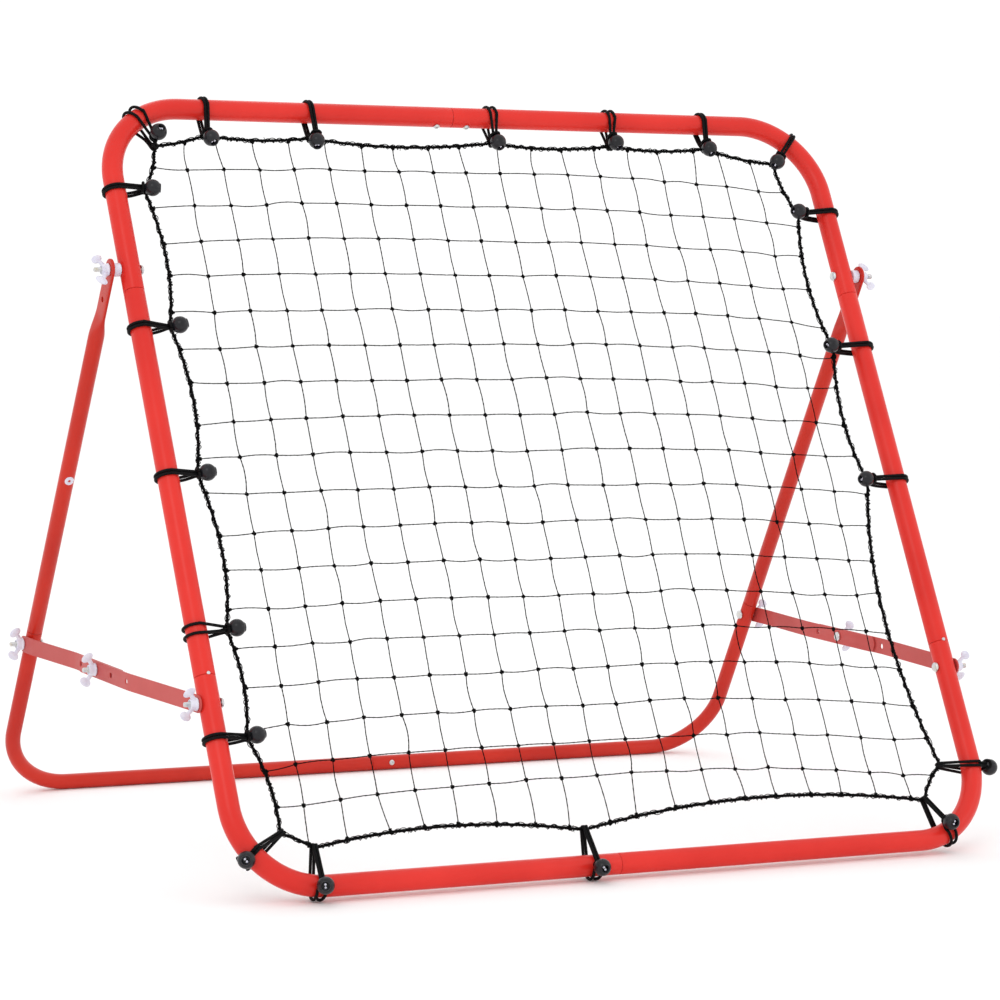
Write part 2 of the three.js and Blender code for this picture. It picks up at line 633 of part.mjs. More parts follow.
/** A bar's outline with round ends and its row of holes, along +Y from its bolt. */
function barOutline(end, holes) {
  const half = BAR_WIDTH / 2;
  const outline = new THREE.Shape();
  outline.absarc(0, 0, half, Math.PI / 2, 1.5 * Math.PI);
  outline.absarc(end - half, 0, half, -Math.PI / 2, Math.PI / 2);
  for (const y of holes) {
    const hole = new THREE.Path();
    hole.absarc(y, 0, HOLE_RADIUS, 0, 2 * Math.PI);
    outline.holes.push(hole);
  }
  return outline;
}

/** A bar along +Y: flat at its end bolt, slanting sideways to flatFrom, and flat again from there on. */
function slantingBar(end, holes, innerFace, slant, flatTo, flatFrom) {
  const far = innerFace + slant * (flatFrom - flatTo);
  const edge = (offset) => [
    [-12, innerFace + offset],
    [flatTo, innerFace + offset],
    [flatFrom, far + offset],
    [end + 2, far + offset],
  ];
  const profile = [...edge(0), ...edge(BAR_THICKNESS).reverse()];
  const side = new THREE.Shape(profile.map(([y, x]) => new THREE.Vector2(x, y)));
  const strip = new THREE.ExtrudeGeometry(side, { depth: BAR_WIDTH + 4, bevelEnabled: false });
  strip.translate(0, 0, -BAR_WIDTH / 2 - 2);
  const outline = plateX(barOutline(end, holes), 0, 2 * legOuter, 4);
  return geometryOf(solid(strip).intersect(solid(outline)));
}

/** Mirrors a bar along Y, or leaves it, so that it points the right way after being set on its side. */
function sideways(geometry, sign) {
  return sign > 0 ? geometry : flipped(geometry.scale(1, -1, 1));
}

for (const { name, sign } of sides) {
  const front = new THREE.Group();
  front.position.set(0, frontY, frontZ);
  front.rotation.x = braceSlope;
  whole.add(front);
  const outer = middleAt + BAR_THICKNESS;
  const frontBar = slantingBar(FRONT_BAR_END, FRONT_BAR_HOLES, barAt, SLANT, BAR_FLAT,
    FRONT_REACH - FRONT_FLAT);
  const boltEnd = rodX(middleAt, outer + NUT_LENGTH + 7, BOLT_RADIUS, 0, 0, 10);
  const middleNut = placed(wingNut(), nutOn(outer));
  onSide(front, sign, `brace_front_bar_${name}`, sideways(frontBar, sign), BAR_PAINT, 0, 0);
  onSide(front, sign, `brace_middle_bolt_end_${name}`, boltEnd, ZINC, FRONT_REACH, 0);
  onSide(front, sign, `brace_middle_wing_nut_${name}`, middleNut, NYLON, FRONT_REACH, 0, 0.2);

  const rear = new THREE.Group();
  rear.position.set(0, rearY, rearZ);
  rear.rotation.x = braceSlope;
  whole.add(rear);
  const bar = slantingBar(REAR_BAR_END, REAR_BAR_HOLES, legOuter, -SLANT, LEG_SIDE_FLAT,
    REAR_REACH - REAR_FLAT);
  onSide(rear, sign, `brace_rear_bar_${name}`, sideways(bar, -sign), BAR_PAINT, 0, 0);
  const head = bolt(headAt(middleAt - BAR_STEP), middleAt - GAP);
  onSide(rear, sign, `brace_middle_bolt_${name}`, head, ZINC, -REAR_REACH, 0);
}

// The origin is on the floor, below the middle of the whole part.
whole.updateMatrixWorld(true);
const bounds = new THREE.Box3().setFromObject(whole, true);
whole.position.set(-(bounds.min.x + bounds.max.x) / 2, -(bounds.min.y + bounds.max.y) / 2, -bounds.min.z);

export default rebounder;
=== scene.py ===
"""Looks of the pitch back rebounder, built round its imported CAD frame. Metres, +Z up."""

import json
import math

import bmesh
import bpy
import numpy as np
from mathutils import Matrix, Vector


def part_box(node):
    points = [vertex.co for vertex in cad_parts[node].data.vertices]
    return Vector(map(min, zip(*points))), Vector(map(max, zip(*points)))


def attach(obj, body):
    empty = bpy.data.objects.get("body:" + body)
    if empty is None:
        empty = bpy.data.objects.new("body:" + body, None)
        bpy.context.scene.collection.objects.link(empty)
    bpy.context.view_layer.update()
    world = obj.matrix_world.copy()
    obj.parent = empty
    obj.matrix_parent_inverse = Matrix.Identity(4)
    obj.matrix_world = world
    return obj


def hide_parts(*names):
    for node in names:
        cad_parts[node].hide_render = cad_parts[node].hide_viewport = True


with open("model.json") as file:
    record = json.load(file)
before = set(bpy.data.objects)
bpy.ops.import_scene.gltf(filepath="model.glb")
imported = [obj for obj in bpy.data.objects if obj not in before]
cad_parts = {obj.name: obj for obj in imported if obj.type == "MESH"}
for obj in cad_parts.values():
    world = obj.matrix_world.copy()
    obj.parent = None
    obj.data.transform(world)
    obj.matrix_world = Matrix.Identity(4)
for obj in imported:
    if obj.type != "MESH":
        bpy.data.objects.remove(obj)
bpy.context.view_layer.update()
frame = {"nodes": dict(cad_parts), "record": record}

# Driving sizes, as the CAD model has them
MM = 0.001
SPAN = 975 * MM  # centre to centre of the frame's tubes
HALF = SPAN / 2
FRAME_RADIUS = 12.5 * MM
FRAME_BEND = 98 * MM
STAND_RADIUS = 9.5 * MM
STAND_BEND = 85 * MM
WALL = 1.2 * MM
LEG_LENGTH = 754 * MM
LEG_OFFSET = 24.5 * MM
LEG_FLAT = 4 * MM
LEG_FLAT_WIDTH = 26 * MM
UPPER_SEAM = 730 * MM
LOWER_SEAM = 250 * MM
TOP_SEAM_X = -27.5 * MM
BOTTOM_SEAM_X = -25 * MM
STAND_SEAM_UP = 240 * MM
FRONT_BRACE_UP = 219.3 * MM
BAR_WIDTH = 20 * MM
BAR_THICKNESS = 2 * MM
HOLE_PITCH = 50 * MM
HOLE_RADIUS = 3.4 * MM
MIDDLE_REARWARD = 25 * MM  # the brace's middle bolt, behind the midpoint between its end bolts
BAR_FLAT = 12 * MM  # the front bar lies flat this far from its end bolt, then slants
LEG_SIDE_FLAT = 34 * MM  # the rear bar lies flat this far from its own
FRONT_FLAT = 104 * MM  # the front bar lies flat again from this far ahead of the middle bolt
REAR_FLAT = 76 * MM  # and the rear bar from this far behind it
GAP = 0.3 * MM
NET_CENTRE = (-2.5 * MM, 491.5 * MM)
NET_HALF = (448.5 * MM, 448.5 * MM)
NET_BEND = 66 * MM
STRANDS = 18  # strands of the net each way
KNOT_RADIUS = 1.05 * MM
FIRST_KNOT = (-395 * MM, 99 * MM)
MESH = (46.6 * MM, 47 * MM)  # one square of the net, across and up
SIDES = (("left", -1), ("right", 1))

# Places from the frame's own joints
JOINT = {joint["name"]: Vector(joint["pos_m"]) for joint in frame["record"]["behaviour"]["joints"]}
PIVOT = JOINT["stand_fold"]
FRONT_BOLT = JOINT["front_brace_right_turn"]
REAR_BOLT = JOINT["rear_brace_right_turn"]
LEAN = math.atan2(PIVOT.y - FRONT_BOLT.y, PIVOT.z - FRONT_BOLT.z)
UP_FRAME = Vector((0, math.sin(LEAN), math.cos(LEAN)))
OUT_OF_FRAME = Vector((0, -math.cos(LEAN), math.sin(LEAN)))
FRAME_ORIGIN = Vector((0, FRONT_BOLT.y, FRONT_BOLT.z)) - UP_FRAME * FRONT_BRACE_UP
STAND_LEAN = math.atan2(REAR_BOLT.y - PIVOT.y, PIVOT.z - REAR_BOLT.z)
UP_STAND = Vector((0, -math.sin(STAND_LEAN), math.cos(STAND_LEAN)))
OUT_OF_STAND = Vector((0, -math.cos(STAND_LEAN), -math.sin(STAND_LEAN)))
STAND_ORIGIN = Vector((0, PIVOT.y, PIVOT.z)) - UP_STAND * LEG_LENGTH
BRACE_SLOPE = math.atan2(REAR_BOLT.z - FRONT_BOLT.z, REAR_BOLT.y - FRONT_BOLT.y)
BRACE_HALF = math.hypot(REAR_BOLT.z - FRONT_BOLT.z, REAR_BOLT.y - FRONT_BOLT.y) / 2

rng = np.random.default_rng(20)


def on_frame(x, up, out=0.0):
    """A place in the front frame's plane, in the row frame."""
    return FRAME_ORIGIN + Vector((x, 0, 0)) + UP_FRAME * up + OUT_OF_FRAME * out


def on_stand(x, up, out=0.0):
    """A place in the rear stand's plane, in the row frame."""
    return STAND_ORIGIN + Vector((x, 0, 0)) + UP_STAND * up + OUT_OF_STAND * out


# ---------------------------------------------------------------- camera


def make_camera():
    """A long lens from the front left, at the photographed view."""
    yaw, pitch, roll = (math.radians(a) for a in (27.018, 5.693, 1.567))
    place = on_frame(-1.9786, 0, 0) + Vector((0, -3.5102, 0.8148))
    forward = Vector((math.sin(yaw) * math.cos(pitch), math.cos(yaw) * math.cos(pitch), -math.sin(pitch)))
    right = Vector((math.cos(yaw), -math.sin(yaw), 0))
    up = right.cross(forward)
    tilted_right = right * math.cos(roll) + up * math.sin(roll)
    tilted_up = up * math.cos(roll) - right * math.sin(roll)
    data = bpy.data.cameras.new("camera")
    data.lens = 128.14
    data.sensor_width = 36
    data.clip_end = 50
    camera = bpy.data.objects.new("camera", data)
    camera.matrix_world = Matrix((tilted_right, tilted_up, -forward)).transposed().to_4x4()
    camera.location = place
    bpy.context.scene.collection.objects.link(camera)
    bpy.context.scene.camera = camera


make_camera()


# ---------------------------------------------------------------- mesh helpers


def add_object(name, mesh, body, material, slot=None, replaces=()):
    """Links a mesh as a piece that rides on a body."""
    piece = bpy.data.objects.new(name, mesh)
    bpy.context.scene.collection.objects.link(piece)
    mesh.materials.clear()
    mesh.materials.append(material)
    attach(piece, body)
    if replaces:
        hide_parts(*replaces)
    return piece


def edit(mesh, change):
    """Runs a change on a mesh while it is held as a bmesh."""
    work = bmesh.new()
    work.from_mesh(mesh)
    change(work)
    work.to_mesh(mesh)
    work.free()


def face_outward(mesh):
    edit(mesh, lambda work: bmesh.ops.recalc_face_normals(work, faces=work.faces))


def shade(mesh, sharp=None):
    """Smooth shading, with an edge left sharp where it turns more than an angle in degrees."""
    mesh.polygons.foreach_set("use_smooth", [True] * len(mesh.polygons))
    if sharp:
        mesh.set_sharp_from_angle(angle=math.radians(sharp))


def mesh_from(name, vertices, faces):
    """A mesh from lists of points and faces."""
    mesh = bpy.data.meshes.new(name)
    mesh.from_pydata([tuple(v) for v in vertices], [], faces)
    mesh.update()
    face_outward(mesh)
    shade(mesh, 38)
    return mesh


def grid_faces(rows, columns, closed_rows=False, start=0):
    """Quads that join rings of points, each ring closed on itself."""
    faces = []
    for row in range(rows if closed_rows else rows - 1):
        below, above = row * columns, (row + 1) % rows * columns
        for i in range(columns):
            j = (i + 1) % columns
            faces.append((start + below + i, start + below + j, start + above + j, start + above + i))
    return faces


def capped_faces(rows, sides):
    """Quads between rings of points, with a face that closes each end."""
    last = (rows - 1) * sides
    return [*grid_faces(rows, sides), tuple(range(sides))[::-1], tuple(range(last, last + sides))]


def parallel_frames(points, closed=False):
    """Tangent, side and up vectors along a path, without needless twist."""
    points = np.asarray(points, float)
    if closed:
        tangents = np.roll(points, -1, 0) - np.roll(points, 1, 0)
    else:
        tangents = np.gradient(points, axis=0)
    tangents /= np.linalg.norm(tangents, axis=1)[:, None]
    guide = np.array((0, 0, 1.0)) if abs(tangents[0][2]) < 0.9 else np.array((1.0, 0, 0))
    sides = np.zeros_like(points)
    side = np.cross(tangents[0], guide)
    for i, tangent in enumerate(tangents):
        side = side - tangent * side.dot(tangent)
        side /= np.linalg.norm(side)
        sides[i] = side
    return tangents, sides, np.cross(tangents, sides)


def tube_points(points, radius, sides, closed=False, lobes=0, lay=1.0):
    """Rings of points round a path. Lobes and lay give a twisted cord its plies."""
    points = np.asarray(points, float)
    _, side, up = parallel_frames(points, closed)
    radii = np.broadcast_to(np.asarray(radius, float), (len(points),))
    steps = np.linalg.norm(np.diff(points, axis=0), axis=1)
    run = np.concatenate(([0], np.cumsum(steps)))
    angle = np.linspace(0, 2 * math.pi, sides, endpoint=False)
    turn = angle[None, :]
    reach = np.broadcast_to(radii[:, None], (len(points), sides)).copy()
    if lobes:
        reach *= 1 + 0.2 * np.cos(lobes * turn - 2 * math.pi * run[:, None] / lay)
    ring = np.cos(turn)[..., None] * side[:, None, :] + np.sin(turn)[..., None] * up[:, None, :]
    return (points[:, None, :] + reach[..., None] * ring).reshape(-1, 3)


class Builder:
    """Gathers many small solids into one mesh."""

    def __init__(self):
        self.vertices = []
        self.faces = []
        self.count = 0

    def add(self, vertices, faces):
        vertices = np.asarray(vertices, float)
        self.vertices.append(vertices)
        self.faces.extend([tuple(self.count + i for i in face) for face in faces])
        self.count += len(vertices)

    def tube(self, points, radius, sides=8, closed=False, lobes=0, lay=1.0):
        """A round cord along a path, its ends closed by flat caps unless it is a loop."""
        rings = tube_points(points, radius, sides, closed, lobes, lay)
        rows = len(points)
        self.add(rings, grid_faces(rows, sides, True) if closed else capped_faces(rows, sides))

    def mesh(self, name):
        return mesh_from(name, np.concatenate(self.vertices), self.faces)


def in_mm(profile):
    """A profile given in millimetres, as radii and heights in metres."""
    return [(radius * MM, height * MM) for radius, height in profile]


def revolve(profile, segments=32):
    """Vertices and faces of a profile of (radius, height) points turned round Z, its ends on the axis."""
    builder = Builder()
    inner = [p for p in profile if p[0] > 0]
    vertices = []
    for radius, height in inner:
        for i in range(segments):
            angle = 2 * math.pi * i / segments
            vertices.append((radius * math.cos(angle), radius * math.sin(angle), height))
    faces = grid_faces(len(inner), segments)
    closed_on_itself = profile[0] == profile[-1]
    if closed_on_itself:
        faces = grid_faces(len(inner) - 1, segments, True)
        vertices = vertices[: (len(inner) - 1) * segments]
    else:
        low, high = len(vertices), len(vertices) + 1
        vertices += [(0, 0, profile[0][1]), (0, 0, profile[-1][1])]
        last = (len(inner) - 1) * segments
        for i in range(segments):
            j = (i + 1) % segments
            faces.append((low, j, i))
            faces.append((high, last + i, last + j))
    builder.add(vertices, faces)
    return builder


def modified(mesh, *modifiers):
    """The mesh after (type, settings) modifiers have been applied."""
    holder = bpy.data.objects.new("work", mesh)
    bpy.context.scene.collection.objects.link(holder)
    for kind, settings in modifiers:
        modifier = holder.modifiers.new(kind, kind)
        for key, value in settings.items():
            setattr(modifier, key, value)
    bpy.context.view_layer.update()
    graph = bpy.context.evaluated_depsgraph_get()
    made = bpy.data.meshes.new_from_object(holder.evaluated_get(graph))
    bpy.data.objects.remove(holder)
    return made


def cut(mesh, cutter):
    """The mesh with another closed mesh cut out of it."""
    tool = bpy.data.objects.new("cutter", cutter)
    bpy.context.scene.collection.objects.link(tool)
    made = modified(mesh, ("BOOLEAN", {"operation": "DIFFERENCE", "object": tool, "solver": "EXACT"}))
    bpy.data.objects.remove(tool)
    return made


def along(direction, place, roll=0.0):
    """A matrix that turns +Z to a direction and moves it to a place."""
    turn = Vector(direction).to_track_quat("Z", "Y").to_matrix().to_4x4()
    return Matrix.Translation(place) @ turn @ Matrix.Rotation(roll, 4, "Z")


# ---------------------------------------------------------------- materials


BLACK = (0, 0, 0)
WHITE = (1, 1, 1)


class Surface:
    """A material under construction, with the plain values set on its shader."""

    def __init__(self, name, base, roughness, metallic=0.0, specular=0.5):
        self.material = bpy.data.materials.new(name)
        self.material.use_nodes = True
        self.nodes = self.material.node_tree.nodes
        self.links = self.material.node_tree.links
        self.inputs = self.nodes["Principled BSDF"].inputs
        self.inputs["Base Color"].default_value = (*base, 1)
        self.inputs["Roughness"].default_value = roughness
        self.inputs["Metallic"].default_value = metallic
        self.inputs["Specular IOR Level"].default_value = specular
        self.place = self.nodes.new("ShaderNodeTexCoord").outputs["Object"]

    def color(self, output):
        self.links.new(output, self.inputs["Base Color"])

    def noise(self, scale, detail=3.0, roughness=0.5):
        made = self.nodes.new("ShaderNodeTexNoise")
        made.inputs["Scale"].default_value = scale
        made.inputs["Detail"].default_value = detail
        made.inputs["Roughness"].default_value = roughness
        self.links.new(self.place, made.inputs["Vector"])
        return made.outputs["Fac"]

    def cells(self, scale):
        made = self.nodes.new("ShaderNodeTexVoronoi")
        made.inputs["Scale"].default_value = scale
        self.links.new(self.place, made.inputs["Vector"])
        return made.outputs["Distance"]

    def ramp(self, value, *stops):
        """A color ramp with two stops or more, each a position and a color."""
        made = self.nodes.new("ShaderNodeValToRGB")
        elements = made.color_ramp.elements
        while len(elements) < len(stops):
            elements.new(0.5)
        for element, (position, color) in zip(elements, stops):
            element.position = position
            element.color = (*color, 1)
        self.links.new(value, made.inputs["Fac"])
        return made.outputs["Color"]

    def mix(self, factor, a, b):
        """Two colors mixed by a factor, where a is an output and b is a plain color."""
        made = self.nodes.new("ShaderNodeMix")
        made.data_type = "RGBA"
        self.links.new(factor, made.inputs["Factor"])
        self.links.new(a, made.inputs[6])
        made.inputs[7].default_value = (*b, 1)
        return made.outputs[2]

    def product(self, a, b):
        made = self.nodes.new("ShaderNodeMath")
        made.operation = "MULTIPLY"
        self.links.new(a, made.inputs[0])
        self.links.new(b, made.inputs[1])
        return made.outputs[0]

    def rough(self, value, low, high):
        """Roughness that varies between two values with a texture."""
        made = self.nodes.new("ShaderNodeMapRange")
        made.inputs["To Min"].default_value = low
        made.inputs["To Max"].default_value = high
        self.links.new(value, made.inputs["Value"])
        self.links.new(made.outputs["Result"], self.inputs["Roughness"])

    def bump(self, height, strength, distance):
        made = self.nodes.new("ShaderNodeBump")
        made.inputs["Strength"].default_value = strength
        made.inputs["Distance"].default_value = distance
        self.links.new(height, made.inputs["Height"])
        self.links.new(made.outputs["Normal"], self.inputs["Normal"])


def paint(name, base, deep, rub, roughness=0.3):
    """Powder coat: slight mottling, thin grime, orange peel and edges with chips."""
    surface = Surface(name, base, roughness, specular=0.22)
    surface.inputs["Coat Weight"].default_value = 0.08
    surface.inputs["Coat Roughness"].default_value = 0.2
    mottle = surface.ramp(surface.noise(9, 4), (0.35, deep), (0.65, base))
    grime = surface.ramp(surface.noise(55, 5, 0.6), (0.52, BLACK), (0.75, (0.25, 0.25, 0.25)))
    tone = surface.mix(grime, mottle, deep)
    sharpness = surface.nodes.new("ShaderNodeNewGeometry").outputs["Pointiness"]
    edge = surface.ramp(sharpness, (0.55, BLACK), (0.63, WHITE))
    chips = surface.ramp(surface.noise(420, 2), (0.55, BLACK), (0.62, WHITE))
    surface.color(surface.mix(surface.product(edge, chips), tone, rub))
    surface.rough(surface.noise(30, 4), roughness - 0.06, roughness + 0.12)
    surface.bump(surface.noise(700, 2), 0.12, 0.0004)
    return surface.material


def zinc():
    """Bright zinc plate: faint blue and yellow passivation and fine brushing."""
    surface = Surface("zinc_plate", (0.62, 0.63, 0.66), 0.25, metallic=1.0)
    surface.color(surface.ramp(surface.noise(160, 3), (0.3, (0.5, 0.53, 0.58)), (0.5, (0.68, 0.68, 0.69)),
                               (0.7, (0.66, 0.63, 0.55))))
    surface.rough(surface.noise(900, 2), 0.18, 0.42)
    surface.bump(surface.noise(2500, 1), 0.1, 0.0001)
    return surface.material


def nylon():
    """White moulded nylon with a lilac cast, slight translucency and a fine moulded grain."""
    surface = Surface("white_nylon", (0.72, 0.71, 0.8), 0.42)
    surface.inputs["Subsurface Weight"].default_value = 0.15
    surface.inputs["Subsurface Radius"].default_value = (0.002, 0.002, 0.0025)
    surface.color(surface.ramp(surface.noise(120, 4), (0.3, (0.64, 0.62, 0.74)), (0.6, (0.74, 0.73, 0.82))))
    surface.bump(surface.noise(1800, 2), 0.15, 0.0002)
    return surface.material


def fibre(name, base, light, scale):
    """Black fibre: streaks of lighter filaments and a rough, matted surface."""
    surface = Surface(name, base, 0.85, specular=0.05)
    surface.color(surface.ramp(surface.noise(scale, 4, 0.65), (0.4, base), (0.75, light)))
    surface.bump(surface.noise(scale * 2.2, 3), 0.5, 0.0004)
    return surface.material


def braid():
    """Woven sleeve of an elastic cord: a fine diamond weave, almost black."""
    surface = Surface("tie_cord_sleeve", (0.016, 0.016, 0.018), 0.6, specular=0.1)
    weave = surface.cells(900)
    surface.color(surface.ramp(weave, (0.1, (0.009, 0.009, 0.011)), (0.6, (0.002, 0.002, 0.002))))
    surface.bump(weave, 0.6, 0.0004)
    return surface.material


def ball_plastic():
    """Dark moulded ball: a slight haze and fine scuffs."""
    surface = Surface("ball_plastic", (0.02, 0.02, 0.024), 0.25, specular=0.32)
    surface.color(surface.ramp(surface.noise(90, 3), (0.3, (0.006, 0.006, 0.008)),
                               (0.7, (0.014, 0.014, 0.018))))
    surface.rough(surface.noise(300, 5, 0.7), 0.18, 0.4)
    surface.bump(surface.noise(1200, 2), 0.08, 0.0002)
    return surface.material


FRAME_PAINT = paint("frame_paint", (0.74, 0.03, 0.021), (0.66, 0.022, 0.015), (0.5, 0.1, 0.08))
STAND_PAINT = paint("stand_paint", (0.58, 0.025, 0.011), (0.49, 0.018, 0.009), (0.35, 0.08, 0.06))
BRACE_PAINT = paint("brace_paint", (0.54, 0.075, 0.068), (0.46, 0.056, 0.05), (0.4, 0.12, 0.1), 0.4)
ZINC = zinc()
NYLON = nylon()
TWINE = fibre("net_twine", (0.001, 0.001, 0.001), (0.01, 0.01, 0.011), 1500)
ROPE_FIBRE = fibre("edge_rope_fibre", (0.001, 0.001, 0.001), (0.012, 0.012, 0.013), 1100)
BRAID = braid()
BALL = ball_plastic()


# ---------------------------------------------------------------- tubes


class Path:
    """A straight route, or two straights joined by a round bend, measured by its length."""

    def __init__(self, start, corner, end=None, radius=0.0):
        self.start = start
        self.into = (corner - start).normalized()
        self.bend = radius
        self.first = (corner - start).length - radius
        if end is None:
            guide = Vector((1, 0, 0)) if abs(self.into.x) < 0.9 else Vector((0, 1, 0))
            self.axis = self.into.cross(guide).normalized()
            self.out = self.into
            self.arc = 0.0
            self.length = self.first
        else:
            self.out = (end - corner).normalized()
            self.axis = self.into.cross(self.out).normalized()
            self.arc = radius * math.pi / 2
            self.length = self.first + self.arc + (end - corner).length - radius

    def at(self, run):
        """The point, the direction and the sideways direction at a distance along the route."""
        if run <= self.first or self.arc == 0:
            place, tangent = self.start + self.into * run, self.into
        else:
            turn = min((run - self.first) / self.bend, math.pi / 2)
            corner_in = self.start + self.into * self.first
            place = corner_in + self.into * self.bend * math.sin(turn)
            place = place + self.out * self.bend * (1 - math.cos(turn))
            tangent = self.into * math.cos(turn) + self.out * math.sin(turn)
            place = place + self.out * max(run - self.first - self.arc, 0)
        return place, tangent, self.axis.cross(tangent)

    def stations(self, low, high, step=4 * MM):
        """Distances strictly between two, closely spaced where the route bends."""
        a, b = max(low, self.first), min(high, self.first + self.arc)
        if self.arc == 0 or a >= b:
            return []
        count = max(int((b - a) / step), 1)
        return [a + (b - a) * i / count for i in range(count + 1) if low < a + (b - a) * i / count < high]


def sweep(path, profile, sides=56):
    """Rings round a path for a closed profile of (distance along, radius)."""
    full = []
    for (run, radius), (next_run, next_radius) in zip(profile, profile[1:] + profile[:1]):
        full.append((run, radius))
        low, high = sorted((run, next_run))
        between = path.stations(low, high)
        for station in between if next_run > run else reversed(between):
            share = (station - run) / (next_run - run)
            full.append((station, radius + (next_radius - radius) * share))
    vertices = []
    for run, radius in full:
        place, _, side = path.at(run)
        for i in range(sides):
            angle = 2 * math.pi * i / sides
            vertices.append(place + side * radius * math.cos(angle) + path.axis * radius * math.sin(angle))
    return vertices, grid_faces(len(full), sides, True)


PLUG_DEPTH = 54 * MM  # how far a tube's reduced end reaches into its neighbour
PLUG_PLAY = 0.15 * MM


def tube_profile(length, radius, plug_start=False, plug_end=False):
    """A tube's section: rolled lips, and reduced ends where it plugs into its neighbour."""
    bore = radius - WALL
    plug = bore - PLUG_PLAY
    plug_bore = plug - 1 * MM

    def end(plugged):
        """From the outside to the inside, as (distance past the end, radius)."""
        if plugged:
            return [(-0.9 * MM, radius), (-0.4 * MM, radius - 0.12 * MM), (-0.08 * MM, radius - 0.5 * MM),
                    (0, plug), (PLUG_DEPTH - 1 * MM, plug), (PLUG_DEPTH, plug - 0.5 * MM),
                    (PLUG_DEPTH, plug_bore),
                    (-6 * MM, plug_bore), (-8 * MM, bore)]
        return [(-0.9 * MM, radius), (-0.4 * MM, radius - 0.12 * MM), (-0.08 * MM, radius - 0.5 * MM),
                (-0.08 * MM, bore + 0.2 * MM), (-0.5 * MM, bore)]

    far = [(length + run, r) for run, r in end(plug_end)]
    near = [(-run, r) for run, r in end(plug_start)][::-1]
    return far + near


def tube(name, path, radius, body, material, slot, node_name, plug_start=False, plug_end=False):
    vertices, faces = sweep(path, tube_profile(path.length, radius, plug_start, plug_end))
    return add_object(name, mesh_from(name, vertices, faces), body, material, slot, (node_name,))


for side, sign in SIDES:
    x = sign * HALF
    top_end = TOP_SEAM_X + sign * GAP / 2
    bottom_end = BOTTOM_SEAM_X + sign * GAP / 2
    upper = Path(on_frame(x, UPPER_SEAM), on_frame(x, SPAN), on_frame(top_end, SPAN), FRAME_BEND)
    tube(f"upper_corner_tube_{side}", upper, FRAME_RADIUS, "front_frame", FRAME_PAINT, "frame_paint",
         f"front_upper_corner_{side}")
    lower = Path(on_frame(x, LOWER_SEAM), on_frame(x, 0), on_frame(bottom_end, 0), FRAME_BEND)
    tube(f"lower_corner_tube_{side}", lower, FRAME_RADIUS, "front_frame", FRAME_PAINT, "frame_paint",
         f"front_lower_corner_{side}", plug_end=sign < 0)
    upright = Path(on_frame(x, LOWER_SEAM + GAP), on_frame(x, UPPER_SEAM - GAP))
    tube(f"side_tube_{side}", upright, FRAME_RADIUS, "front_frame", FRAME_PAINT, "frame_paint",
         f"front_side_tube_{side}", plug_start=True, plug_end=True)
    leg_x = sign * (HALF + LEG_OFFSET)
    floor = Path(on_stand(leg_x, STAND_SEAM_UP), on_stand(leg_x, 0), on_stand(sign * GAP / 2, 0), STAND_BEND)
    tube(f"floor_tube_{side}", floor, STAND_RADIUS, "rear_stand", STAND_PAINT, "stand_paint",
         f"stand_floor_tube_{side}", plug_end=sign < 0)

sleeve_path = Path(on_frame(TOP_SEAM_X - 45 * MM, SPAN), on_frame(TOP_SEAM_X + 45 * MM, SPAN))


